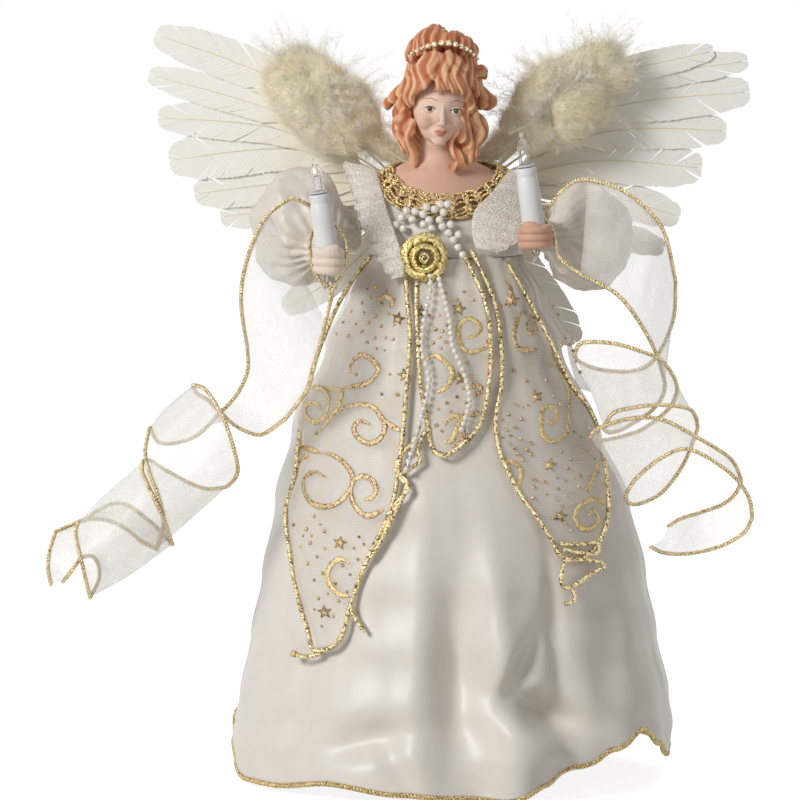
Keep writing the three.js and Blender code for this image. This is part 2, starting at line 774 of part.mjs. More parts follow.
// Tiara places: [picture column, row, depth share]
const tiaraShares = [
  [407, 61, -0.12], [412, 56, -0.56], [425, 50, -0.8], [443, 46, -0.9], [460, 49, -0.76],
  [471, 55, -0.48], [477, 60, -0.12],
];
const STONE_RADIUS = 1.3;
const TIARA_STONES = 13;

// Moulded hair: a lofted cap with locks at its sides and over the forehead
function hairForms() {
  const cap = hairShares.map(([row, left, right, depthShare, halfShare]) => {
    const depth = depthShare * HEAD_HALF_DEPTH;
    const middle = placed([(left + right) / 2, row], depth);
    const halfWidth = ((right - left) / 2) * MM_PER_PIXEL;
    return oval(halfWidth, halfShare * HEAD_HALF_DEPTH, 0, 0, 16).map((p) => {
      return vec(p.x + middle.x, p.y + depth, middle.z);
    });
  });
  const locks = lockShares.map(([column, row, depthShare, ...halfShares]) => {
    const halves = vec(...halfShares).multiplyScalar(HEAD_HALF_DEPTH);
    return ellipsoid(placed([column, row], depthShare * HEAD_HALF_DEPTH), halves, 8, 6);
  });
  return [loft(cap), ...locks];
}

// Head, neck and shoulder plate, cast as one
function makeHead() {
  const neckMiddle = placed(neckPixel, 0);
  const base = CONE_HEIGHT + TORSO_HEIGHT * PLATE_BASE_SHARE + GAP * 2;
  const plateHeight = HEAD_HALF_DEPTH * PLATE_HEIGHT_SHARE;
  const plate = plateShares.map(([height, width, depth, tilt], i) => {
    const shift = (neckMiddle.x * i) / (plateShares.length - 1);
    const z = base + plateHeight * height;
    const [w, d] = [TORSO_HALF_WIDTH * width, TORSO_HALF_DEPTH * depth];
    return oval(w, d, z, tilt, PLATE_SIDES, shift);
  });
  const face = placed(facePixel, HEAD_HALF_DEPTH * FACE_DEPTH_SHARE);
  const faceHalves = vec(...faceShares).multiplyScalar(HEAD_HALF_DEPTH);
  const throat = neckMiddle.clone().setZ(base + plateHeight / 2);
  const neck = rod(throat, vec(face.x, 0, face.z), HEAD_HALF_DEPTH * NECK_SHARE);
  const pieces = [loft(plate), neck, ellipsoid(face, faceHalves, 12, 8), ...hairForms()];
  place("bisque_head", joined(pieces), BISQUE);
}

function makeTiara() {
  const band = tiaraShares.map(([column, row, share]) => {
    return placed([column, row], share * HEAD_HALF_DEPTH);
  });
  place("tiara", beads(band, STONE_RADIUS, PEARL_THREAD_RADIUS, TIARA_STONES), RHINESTONE);
}

// The two arms: which way is outward, the fist's and puff's places with their half sizes as
// shares, and the share of the socket's length that sits below the fist's middle
const sides = {
  left: {
    out: -1,
    fistPixel: [328, 263],
    fistShares: [1.246, 1.639, 1.148],
    puffPixel: [300, 228],
    puffShares: [0.8125, 0.75, 1],
    seatShare: 0.125,
  },
  right: {
    out: 1,
    fistPixel: [534, 239],
    fistShares: [1.443, 1.639, 1.016],
    puffPixel: [586, 237],
    puffShares: [0.78125, 0.75, 0.875],
    seatShare: 0.1,
  },
};
const PUFF_DEPTH_SHARE = 0.1818;
const CUFF_LENGTH_SHARE = 0.125;
const SLEEVE_START_SHARE = 1.4;
const WRIST_RADIUS = 4.6;
const WRIST_LENGTH = 14;
const CUFF_RADIUS = 9;
const SHOULDER_TUBE_RADIUS = 12;
const ARM_SIDES = 10;
const socketLean = vec(-0.14, 0, 0.99).normalize();
const LEAD_LOOP = 7;

// Where an arm turns, and the points that its wire runs through
function armPoints(side) {
  const { out, fistPixel, puffPixel } = side;
  const pivot = vec(out * TORSO_HALF_WIDTH, 0, shoulderHeight);
  const fist = placed(fistPixel, -ARM_REACH);
  const puff = placed(puffPixel, -ARM_REACH * PUFF_DEPTH_SHARE);
  const wrist = fist.clone().add(vec(0, WRIST_LENGTH, 0));
  const cuff = wrist.clone().add(vec(0, WRIST_LENGTH * CUFF_LENGTH_SHARE, 0));
  const bodiceSide = TORSO_HALF_WIDTH + BODICE_LIFT + CLOTH;
  const sleeveStart = bodiceSide + ARMHOLE_RADIUS * SLEEVE_START_SHARE;
  const shoulder = vec(out * sleeveStart, 0, pivot.z);
  return { pivot, fist, puff, wrist, cuff, shoulder };
}

// Fist: a palm with three finger ridges round the socket, and a wrist that the wire enters
const fingerShares = [0.84, 0.58, 0.36];
const FINGER_STEP_SHARE = 1.5;
const WIRE_END_SHARE = 0.4;
function makeFist(name, side, into) {
  const { fist, wrist } = armPoints(side);
  const halves = vec(...side.fistShares).multiplyScalar(SOCKET_BOTTOM_RADIUS);
  const palm = ellipsoid(fist, halves, 12, 6);
  const finger = halves.clone().multiply(vec(...fingerShares));
  const fingers = [-1, 0, 1].map((step) => {
    const rise = step * finger.z * FINGER_STEP_SHARE;
    return ellipsoid(fist.clone().add(vec(0, -halves.y / 2, rise)), finger, 10, 4);
  });
  const stem = rod(fist, wrist, WRIST_RADIUS, 8);
  const reach = socketLean.clone().multiplyScalar(SOCKET_LENGTH);
  const radius = SOCKET_BOTTOM_RADIUS + GAP;
  const grip = rod(fist.clone().sub(reach), fist.clone().add(reach), radius, 14);
  const wireHole = rod(
    wrist.clone().add(vec(0, -WRIST_LENGTH * WIRE_END_SHARE, 0)),
    wrist.clone().add(vec(0, WRIST_LENGTH, 0)),
    ARM_WIRE_RADIUS + GAP,
    6,
  );
  place("fist_" + name, cut(joined([palm, ...fingers, stem]), [grip, wireHole]), BISQUE, into);
}

// Puff sleeve: a hollow ball of satin with a cuff at the wrist and an open shoulder
function makeSleeve(name, side, into) {
  const { puff, cuff, shoulder } = armPoints(side);
  const body = (thin, over) => {
    const halves = vec(...side.puffShares).multiplyScalar(PUFF_HALF_HEIGHT).subScalar(thin);
    const ball = ellipsoid(puff, halves, 12, 7);
    const beyond = (from, to) => to.clone().add(to.clone().sub(from).setLength(over));
    const forearm = rod(puff, beyond(puff, cuff), CUFF_RADIUS - thin, ARM_SIDES);
    const arm = rod(puff, beyond(puff, shoulder), SHOULDER_TUBE_RADIUS - thin, ARM_SIDES);
    return joined([ball, forearm, arm]);
  };
  place("sleeve_" + name, cut(body(0, GAP), [body(CLOTH, CUFF_RADIUS)]), SATIN, into);
}

// Wire from the torso through the sleeve into the fist
function makeArmWire(name, side, into) {
  const { pivot, puff, wrist, shoulder } = armPoints(side);
  const wireEnd = wrist.clone().add(vec(0, GAP - WRIST_LENGTH * WIRE_END_SHARE, 0));
  const bend = puff.clone().lerp(wrist, 1 / 2).lerp(shoulder, 1 / 4);
  const behind = wrist.clone().add(vec(0, WRIST_LENGTH / 2, 0));
  const route = [pivot, shoulder, bend, behind, wrist, wireEnd];
  place("arm_wire_" + name, tube(route, ARM_WIRE_RADIUS, 15, 5), STEEL_WIRE, into);
}

// Candle socket, leaning as the fist holds it: a tapered sleeve with a bore for the lamp
function makeSocket(name, side, into) {
  const { fist } = armPoints(side);
  const lamp = new THREE.Group();
  lamp.position.copy(fist).addScaledVector(socketLean, -SOCKET_LENGTH * side.seatShare);
  lamp.quaternion.setFromUnitVectors(vec(0, 0, 1), socketLean);
  into.add(lamp);
  const floor = SOCKET_LENGTH - SOCKET_BORE_DEPTH;
  const throat = LEAD_RADIUS + GAP * 3;
  const profile = [
    [0, floor],
    [SOCKET_BORE_RADIUS, floor],
    [SOCKET_BORE_RADIUS, SOCKET_LENGTH],
    [SOCKET_TOP_RADIUS, SOCKET_LENGTH],
    [SOCKET_BOTTOM_RADIUS, 0],
    [throat, 0],
    [throat, floor - SOCKET_TOP_RADIUS],
    [0, floor - SOCKET_TOP_RADIUS],
  ];
  place("lamp_socket_" + name, facingOut(mergedOnly(turned(profile, 16))), WHITE_PLASTIC, lamp);
  makeLamp(name, lamp, floor);
}

// Mini lamp: base in the socket, glass in the base, filament on its posts in the glass
const BASE_FLANGE = 1.2;
const BASE_RECESS = 5;
const POST_RADIUS = 0.3;
// Glass above its foot: rows of [width share, drop share from the tip]
const glassShares = [[0.3, 0.02], [0.34, 0.14], [0.72, 0.22], [1, 0.34]];
const GLASS_TIP_SHARE = 0.03;
const GLASS_CROWN_SHARE = 0.08;
const FILAMENT_SHARE = 0.58;
const POST_BEAD_SHARE = 0.2;
const postBeadShares = [1.3, 0.7, 0.7];
function makeLamp(name, lamp, floor) {
  const baseRadius = SOCKET_BORE_RADIUS - GAP;
  const bottom = floor + SOCKET_BORE_DEPTH - LAMP_BASE_LENGTH;
  const top = SOCKET_LENGTH + GAP + BASE_FLANGE;
  const recess = LAMP_GLASS_RADIUS + GAP;
  const seat = top - BASE_RECESS;
  const base = [
    [0, bottom],
    [baseRadius, bottom],
    [baseRadius, SOCKET_LENGTH + GAP],
    [SOCKET_TOP_RADIUS - GAP, SOCKET_LENGTH + GAP],
    [SOCKET_TOP_RADIUS - GAP * 2, top],
    [recess, top],
    [recess, seat],
    [0, seat],
  ];
  place("lamp_base_" + name, facingOut(mergedOnly(turned(base, 14))), WHITE_PLASTIC, lamp);
  const foot = seat + GAP;
  const crown = foot + LAMP_GLASS_LENGTH;
  const r = LAMP_GLASS_RADIUS;
  const below = (share) => crown - LAMP_GLASS_LENGTH * share;
  const outer = glassShares.map(([wide, drop]) => [r * wide, below(drop)]);
  const inside = [...glassShares].reverse().map(([wide, drop]) => {
    const thinned = Math.max(r * wide - LAMP_GLASS_WALL, LAMP_GLASS_WALL / 2);
    return [thinned, below(drop + GLASS_TIP_SHARE)];
  });
  const glass = [
    [0, crown],
    ...outer,
    [r, foot],
    [r - LAMP_GLASS_WALL, foot],
    ...inside,
    [0, below(GLASS_CROWN_SHARE)],
  ];
  place("lamp_glass_" + name, facingOut(mergedOnly(turned(glass, 12))), CLEAR_GLASS, lamp);
  const spread = LAMP_GLASS_RADIUS / 2;
  const beadAt = foot + LAMP_GLASS_LENGTH * POST_BEAD_SHARE;
  const filamentAt = foot + LAMP_GLASS_LENGTH * FILAMENT_SHARE;
  const posts = [-spread, spread].map((x) => {
    return rod(vec(x, 0, foot), vec(x, 0, filamentAt + POST_RADIUS), POST_RADIUS, 4);
  });
  const filament = rod(vec(-spread, 0, filamentAt), vec(spread, 0, filamentAt), POST_RADIUS, 4);
  const beadHalves = vec(...postBeadShares).multiplyScalar(spread);
  const bead = ellipsoid(vec(0, 0, beadAt), beadHalves, 6, 4);
  place("lamp_filament_" + name, joined([...posts, filament, bead]), STEEL_WIRE, lamp);
}

// Lead from the foot of the socket, round under the fist and through the cuff to the shoulder
const LOOP_DROP_SHARE = 1.3;
const SHOULDER_DROP_SHARE = 0.34;
function makeLead(name, side, into) {
  const { out, seatShare } = side;
  const { pivot, fist, wrist, puff, cuff, shoulder } = armPoints(side);
  const foot = fist.clone().addScaledVector(socketLean, -SOCKET_LENGTH * seatShare);
  const room = (CUFF_RADIUS - CLOTH) * Math.cos(Math.PI / ARM_SIDES) - LEAD_RADIUS - GAP;
  const axis = puff.clone().sub(cuff).normalize();
  const drop = vec(0, 0, -1).addScaledVector(axis, axis.z).setLength(room);
  const route = [
    foot.clone().addScaledVector(socketLean, LEAD_LOOP),
    foot.clone().addScaledVector(socketLean, -LEAD_LOOP / 2),
    foot.clone().add(vec(0, LEAD_LOOP / 2, -LEAD_LOOP * LOOP_DROP_SHARE)),
    wrist.clone().add(drop).add(vec(0, -LEAD_LOOP, -LEAD_LOOP / 3)),
    cuff.clone().add(drop),
    cuff.clone().lerp(puff, 1 / 3).add(drop),
    puff.clone().lerp(shoulder, 1 / 2).add(drop),
    shoulder.clone().addScaledVector(drop, SHOULDER_DROP_SHARE),
    pivot.clone().addScaledVector(drop, SHOULDER_DROP_SHARE).add(vec(out * GAP * 2, 0, 0)),
  ];
  place("lamp_lead_" + name, tube(route, LEAD_RADIUS, 32, 4), WIRE_COVER, into);
}

// Ribbons: each stage is half a turn of the coil, with both edges' picture places. Their depths
// in front of the body's axis are shares of the arm's reach.
const ribbonShares = {
  left: {
    depthShare: 1.018,
    knot: [
      [[311, 209], 0.891], [[324, 214], 0.818], [[343, 240], 0.873], [[346, 258], 0.982],
      [[342, 276], 1.036],
    ],
    loop: [[[324, 214], 0.818], [[311, 237], 0.873], [[310, 259], 0.982], [[317, 280], 1.036]],
    stages: [
      [
        [[303, 206], [290, 203], [265, 222], [247, 260], [240, 300], [246, 345]],
        [[331, 292], [328, 310], [323, 330], [317, 352], [308, 385], [297, 403], [285, 418]],
      ],
      [
        [[246, 345], [247, 370], [237, 393], [221, 411], [193, 437], [160, 443], [149, 427]],
        [[285, 418], [262, 434], [245, 431], [230, 422], [208, 401], [196, 393], [192, 385]],
      ],
      [
        [[149, 427], [144, 450], [148, 471], [156, 493], [162, 520], [155, 547]],
        [[192, 385], [206, 391], [224, 422], [236, 462], [234, 477], [225, 486]],
      ],
      [
        [[155, 547], [141, 541], [126, 529], [110, 521], [92, 518], [77, 521]],
        [[225, 486], [208, 488], [190, 483], [162, 468], [150, 460], [142, 460]],
      ],
      [
        [[77, 521], [74, 532], [79, 557], [83, 575], [88, 596]],
        [[142, 460], [141, 470], [148, 486], [163, 520], [171, 543]],
      ],
      [
        [[88, 596], [97, 580], [97, 565], [92, 556], [86, 554]],
        [[171, 543], [147, 519], [116, 502], [79, 520], [54, 530]],
      ],
      [
        [[86, 554], [78, 557], [69, 569], [61, 580]],
        [[54, 530], [47, 550], [46, 567], [49, 583]],
      ],
    ],
  },
  right: {
    depthShare: 0.982,
    knot: [[[541, 217], 0.889], [[551, 231], 0.918]],
    loop: [],
    stages: [
      [
        [[551, 206], [558, 196], [580, 184], [616, 193], [641, 210], [662, 235], [674, 283]],
        [[554, 244], [559, 261], [580, 277], [616, 297], [640, 327], [656, 357], [664, 384]],
      ],
      [
        [[674, 283], [672, 321], [655, 358], [633, 371], [600, 370], [580, 363], [574, 357]],
        [[664, 384], [662, 396], [652, 410], [636, 421], [620, 430], [608, 432], [603, 428]],
      ],
      [
        [[574, 357], [580, 344], [610, 344], [636, 351], [660, 361], [674, 380], [676, 392]],
        [[603, 428], [612, 413], [630, 408], [655, 405], [686, 408], [695, 417], [697, 428]],
      ],
      [
        [[676, 392], [670, 406], [655, 420], [640, 430], [622, 436], [600, 440], [589, 437]],
        [[697, 428], [693, 440], [682, 466], [662, 492], [640, 503], [628, 502], [625, 495]],
      ],
      [
        [[589, 437], [597, 428], [630, 418], [660, 419], [695, 436], [730, 458], [741, 480]],
        [[625, 495], [636, 477], [664, 455], [690, 449], [728, 471], [748, 495], [752, 516]],
      ],
      [
        [[741, 480], [735, 493], [722, 504], [700, 512], [680, 518], [668, 525]],
        [[752, 516], [744, 532], [720, 546], [690, 553], [665, 552], [650, 545]],
      ],
    ],
  },
};
const STAGE_STATIONS = 5;
const KNOT_STATIONS = 2;

// Both edges of a ribbon, station by station; a coil's turn swings to the front and back
function ribbonEdges({ depthShare, stages }) {
  const edges = [[], []];
  stages.forEach((stage, i) => {
    const swing = (i % 2 === 0 ? -1 : 1) * RIBBON_COIL_RADIUS;
    stage.forEach((pixels, edge) => {
      evenly(pixels, STAGE_STATIONS + 1).forEach((pixel, k) => {
        if (k === 0 && i > 0) return;
        const bulge = Math.sin((k / STAGE_STATIONS) * Math.PI);
        edges[edge].push(placed(pixel, swing * bulge - ARM_REACH * depthShare));
      });
    });
  });
  return edges;
}

// Sheer ribbon with a wired cord along both edges; the cord is looped over the wrist
function makeRibbon(name, into) {
  const { knot, loop, ...coil } = ribbonShares[name];
  const [upper, lower] = ribbonEdges(coil);
  const inset = RIBBON_CORD_RADIUS * 2;
  const rows = upper.slice(KNOT_STATIONS).map((point, i) => {
    const facing = lower[i + KNOT_STATIONS];
    const across = facing.clone().sub(point).setLength(inset);
    return [point.clone().add(across), facing.clone().sub(across)];
  });
  const places = (entries) => entries.map(([pixel, share]) => placed(pixel, -ARM_REACH * share));
  const route = [...[...upper].reverse(), ...places(knot), ...lower];
  const cords = [tube(route, RIBBON_CORD_RADIUS, route.length - 1, 4)];
  const room = tube(route, RIBBON_CORD_RADIUS + GAP, route.length - 1, 4);
  place("ribbon_" + name, cut(sheet(rows, SHEER), [room]), SHEER_CLOTH, into);
  if (loop.length) {
    cords.push(tube([...places(loop), lower[0], lower[1]], RIBBON_CORD_RADIUS, 10, 4));
  }
  place("ribbon_cord_" + name, joined(cords), GOLD_CORD, into);
}

function makeArms() {
  for (const [name, side] of Object.entries(sides)) {
    const arm = new THREE.Group();
    group.add(arm);
    makeFist(name, side, arm);
    makeSleeve(name, side, arm);
    makeArmWire(name, side, arm);
    makeSocket(name, side, arm);
    makeLead(name, side, arm);
    makeRibbon(name, arm);
  }
}

// Feathers: picture places of the quill's root, its middle and the tip, and the vane's width share
const featherShares = {
  left: [
    [[408, 186], [290, 84], [158, 31], 0.826],
    [[408, 186], [285, 112], [151, 71], 0.652],
    [[408, 186], [290, 128], [160, 114], 0.739],
    [[408, 186], [300, 146], [171, 157], 1],
    [[408, 186], [310, 178], [196, 191], 0.783],
    [[408, 186], [335, 200], [222, 214], 0.652],
    [[408, 186], [360, 255], [285, 308], 0.652],
  ],
  right: [
    [[474, 186], [585, 85], [712, 47], 0.565],
    [[474, 186], [595, 88], [746, 57], 0.609],
    [[474, 186], [600, 108], [748, 88], 0.87],
    [[474, 186], [600, 130], [725, 127], 0.826],
    [[474, 186], [590, 158], [701, 165], 0.957],
    [[474, 186], [575, 185], [679, 214], 0.739],
    [[474, 186], [560, 215], [664, 246], 0.565],
    [[474, 186], [530, 270], [576, 342], 0.696],
  ],
};
// Vane rows: [share of the feather's length, share of its width]
const vaneShares = [
  [0, 0], [0.22, 0], [0.34, 0.5], [0.52, 0.92], [0.7, 1], [0.86, 0.78], [0.95, 0.44], [1, 0.06],
];
const wingFront = TORSO_HALF_DEPTH + BODICE_LIFT + CLOTH * 2 + GAP;

function makeFeather(name, [root, middle, tip, widthShare], layer) {
  const depth = wingFront + WING_CARD_THICKNESS + GAP * 2 + FEATHER_LAYER * (layer + 1 / 2);
  const path = new THREE.CatmullRomCurve3([root, middle, tip].map((p) => placed(p, depth)));
  const half = FEATHER_HALF_WIDTH * widthShare;
  const rings = vaneShares.map(([along, wide]) => {
    const point = path.getPoint(along);
    const across = path.getTangent(along).cross(vec(0, 1, 0)).normalize();
    const reach = QUILL_RADIUS + (half - QUILL_RADIUS) * wide;
    const thick = FEATHER_THICKNESS / 2;
    return [[-1, -1], [1, -1], [1, 1], [-1, 1]].map(([a, b]) => {
      return point.clone().addScaledVector(across, a * reach).add(vec(0, b * thick, 0));
    });
  });
  place(name, loft(rings), GOOSE);
}

// Marabou puffs: picture place of the middle, length share, width share, and lean in turns
const marabouShares = {
  left: [[318, 98], 1, 1, -0.115],
  right: [[572, 92], 1.028, 1.087, 0.11],
};

function makeMarabou(name, [pixel, long, wide, lean]) {
  const back = wingFront + WING_CARD_THICKNESS + GAP;
  const middle = placed(pixel, back - MARABOU_HALF_DEPTH);
  const [halfLength, halfWidth] = [MARABOU_HALF_LENGTH * long, MARABOU_HALF_WIDTH * wide];
  const halves = vec(halfLength, MARABOU_HALF_DEPTH, halfWidth);
  const geometry = ellipsoid(vec(0, 0, 0), halves, 14, 8);
  geometry.rotateY(-lean * Math.PI * 2);
  geometry.translate(middle.x, middle.y, middle.z);
  place("marabou_" + name, geometry, MARABOU);
}

const CARD_HALF_WIDTH = 24;
const CARD_HALF_HEIGHT = 20;
function makeWings() {
  const card = new THREE.Shape();
  card.absellipse(0, 0, CARD_HALF_WIDTH, CARD_HALF_HEIGHT, 0, Math.PI * 2);
  const settings = { depth: WING_CARD_THICKNESS, bevelEnabled: false, curveSegments: 10 };
  const geometry = new THREE.ExtrudeGeometry(card, settings);
  geometry.rotateX(Math.PI / 2);
  geometry.translate(0, wingFront + WING_CARD_THICKNESS, shoulderHeight + CARD_HALF_HEIGHT / 2);
  place("wing_card", geometry, BOARD);
  for (const name of ["left", "right"]) {
    featherShares[name].forEach((row, i) => makeFeather(`feather_${name}_${i + 1}`, row, i));
    makeMarabou(name, marabouShares[name]);
  }
}

makeCone();
makeTorso();
makeBodice();
makeSkirt();
makeOverlay();
makeCollar();
makeBraid();
makePearls();
makeRosette();
makeHead();
makeTiara();
makeArms();
makeWings();

export default group;
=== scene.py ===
import logging
import math
import random
from collections.abc import Callable, Sequence
from dataclasses import dataclass, field
from enum import Enum

import bmesh
import bpy
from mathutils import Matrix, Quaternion, Vector, noise
from mathutils.bvhtree import BVHTree


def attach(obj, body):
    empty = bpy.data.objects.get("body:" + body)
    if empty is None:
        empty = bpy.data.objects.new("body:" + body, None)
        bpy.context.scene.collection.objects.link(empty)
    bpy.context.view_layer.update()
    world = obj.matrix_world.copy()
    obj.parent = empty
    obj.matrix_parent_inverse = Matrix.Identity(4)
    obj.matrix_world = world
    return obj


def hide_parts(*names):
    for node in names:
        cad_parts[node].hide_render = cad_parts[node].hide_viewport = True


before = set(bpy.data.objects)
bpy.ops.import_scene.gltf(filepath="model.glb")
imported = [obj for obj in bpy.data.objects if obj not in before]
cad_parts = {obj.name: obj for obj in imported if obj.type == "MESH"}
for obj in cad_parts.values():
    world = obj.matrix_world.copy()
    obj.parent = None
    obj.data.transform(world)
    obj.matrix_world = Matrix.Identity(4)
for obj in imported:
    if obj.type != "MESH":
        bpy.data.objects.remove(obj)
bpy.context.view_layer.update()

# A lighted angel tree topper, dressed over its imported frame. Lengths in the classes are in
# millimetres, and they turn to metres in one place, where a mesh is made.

MM = 0.001
WELD = 0.001
# A wave pattern of scale 1 has its bands this far from one a unit apart
WAVE = 6.28
LOG = logging.getLogger("angel")
Points = list[Vector]
Faces = list[tuple[int, ...]]
Pixel = tuple[float, float]
Spot = tuple[float, float, float]
Tree = bpy.types.NodeTree
Node = bpy.types.Node
Socket = bpy.types.NodeSocket
Thing = bpy.types.Object


class Body(str, Enum):
    """The bodies that a piece can ride on."""

    FIGURE = "figure"
    ARM_LEFT = "arm_left"
    ARM_RIGHT = "arm_right"
    LAMP_LEFT = "lamp_left"
    LAMP_RIGHT = "lamp_right"


def linear(code: str, alpha: float = 1.0) -> tuple[float, float, float, float]:
    """Turns an sRGB hex colour to linear light.

    Args:
        code: six hex digits, with or without a leading hash.
        alpha: the fourth value.

    Returns:
        Red, green, blue and alpha.
    """
    parts = [int(code.lstrip("#")[i : i + 2], 16) / 255 for i in (0, 2, 4)]
    red, green, blue = (p / 12.92 if p <= 0.04045 else ((p + 0.055) / 1.055) ** 2.4 for p in parts)
    return red, green, blue, alpha


def mix(a: float, b: float, t: float) -> float:
    """Returns the value a share t of the way from a to b."""
    return a + (b - a) * t


def clamp(value: float, low: float = 0.0, high: float = 1.0) -> float:
    """Returns the value kept between low and high."""
    return max(low, min(high, value))


def smooth(low: float, high: float, value: float) -> float:
    """Returns a soft step from 0 at low to 1 at high."""
    t = clamp((value - low) / (high - low))
    return t * t * (3 - 2 * t)


def angles(count: int) -> list[float]:
    """Returns the angles of a number of even steps round a circle."""
    return [k / count * math.tau for k in range(count)]


def eased_table(rows: list[tuple[float, float]], place: float) -> float:
    """Reads a table of [place, value] rows with a soft step between rows.

    Args:
        rows: the table, with its places rising.
        place: where to read it.

    Returns:
        The value there.
    """
    if place <= rows[0][0]:
        return rows[0][1]
    for (a, low), (b, high) in zip(rows, rows[1:]):
        if place <= b:
            t = (place - a) / (b - a)
            return mix(low, high, t * t * (3 - 2 * t))
    return rows[-1][1]


def spline(points: Points, count: int, closed: bool = False) -> Points:
    """Smooth curve through points, evenly spaced along its length.

    Args:
        points: what the curve passes through.
        count: how many points to return.
        closed: whether the curve comes back to its start.

    Returns:
        The points of the curve.
    """
    fine: Points = []
    total = len(points)
    steps = 12
    for i in range(total if closed else total - 1):
        near = range(i - 1, i + 3)
        p = [points[k % total if closed else max(0, min(total - 1, k))] for k in near]
        for t in (step / steps for step in range(steps)):
            square, cube = 2 * p[0] - 5 * p[1] + 4 * p[2] - p[3], 3 * p[1] - p[0] - 3 * p[2] + p[3]
            fine.append(0.5 * (2 * p[1] + (p[2] - p[0]) * t + square * t**2 + cube * t**3))
    fine.append((points[0] if closed else points[-1]).copy())
    return evenly(fine, count + 1)[:-1] if closed else evenly(fine, count)


def evenly(points: Points, count: int) -> Points:
    """Spaces points evenly along a line of straight runs.

    Args:
        points: the line.
        count: how many points to return.

    Returns:
        The spaced points.
    """
    lengths = [0.0]
    for a, b in zip(points, points[1:]):
        lengths.append(lengths[-1] + (b - a).length)
    result: Points = []
    at = 0
    for i in range(count):
        goal = lengths[-1] * i / (count - 1)
        while at < len(points) - 2 and lengths[at + 1] < goal:
            at += 1
        run = lengths[at + 1] - lengths[at]
        result.append(points[at].lerp(points[at + 1], (goal - lengths[at]) / run if run else 0))
    return result


def frames_along(points: Points, closed: bool = False) -> list[tuple[Vector, Vector, Vector]]:
    """Turning-free frames along a line.

    Args:
        points: the line.
        closed: whether it comes back to its start.

    Returns:
        For each point its direction and two directions square to it.
    """
    count = len(points)
    result = []
    before = None
    across = Vector((0, 0, 1))
    for i in range(count):
        if closed:
            along = points[(i + 1) % count] - points[i - 1]
        else:
            along = points[min(count - 1, i + 1)] - points[max(0, i - 1)]
        along = along.normalized()
        if before is None:
            across = along.orthogonal().normalized()
        else:
            across = (before.rotation_difference(along) @ across).normalized()
            across = (across - along * across.dot(along)).normalized()
        before = along
        result.append((along, across, along.cross(across)))
    return result


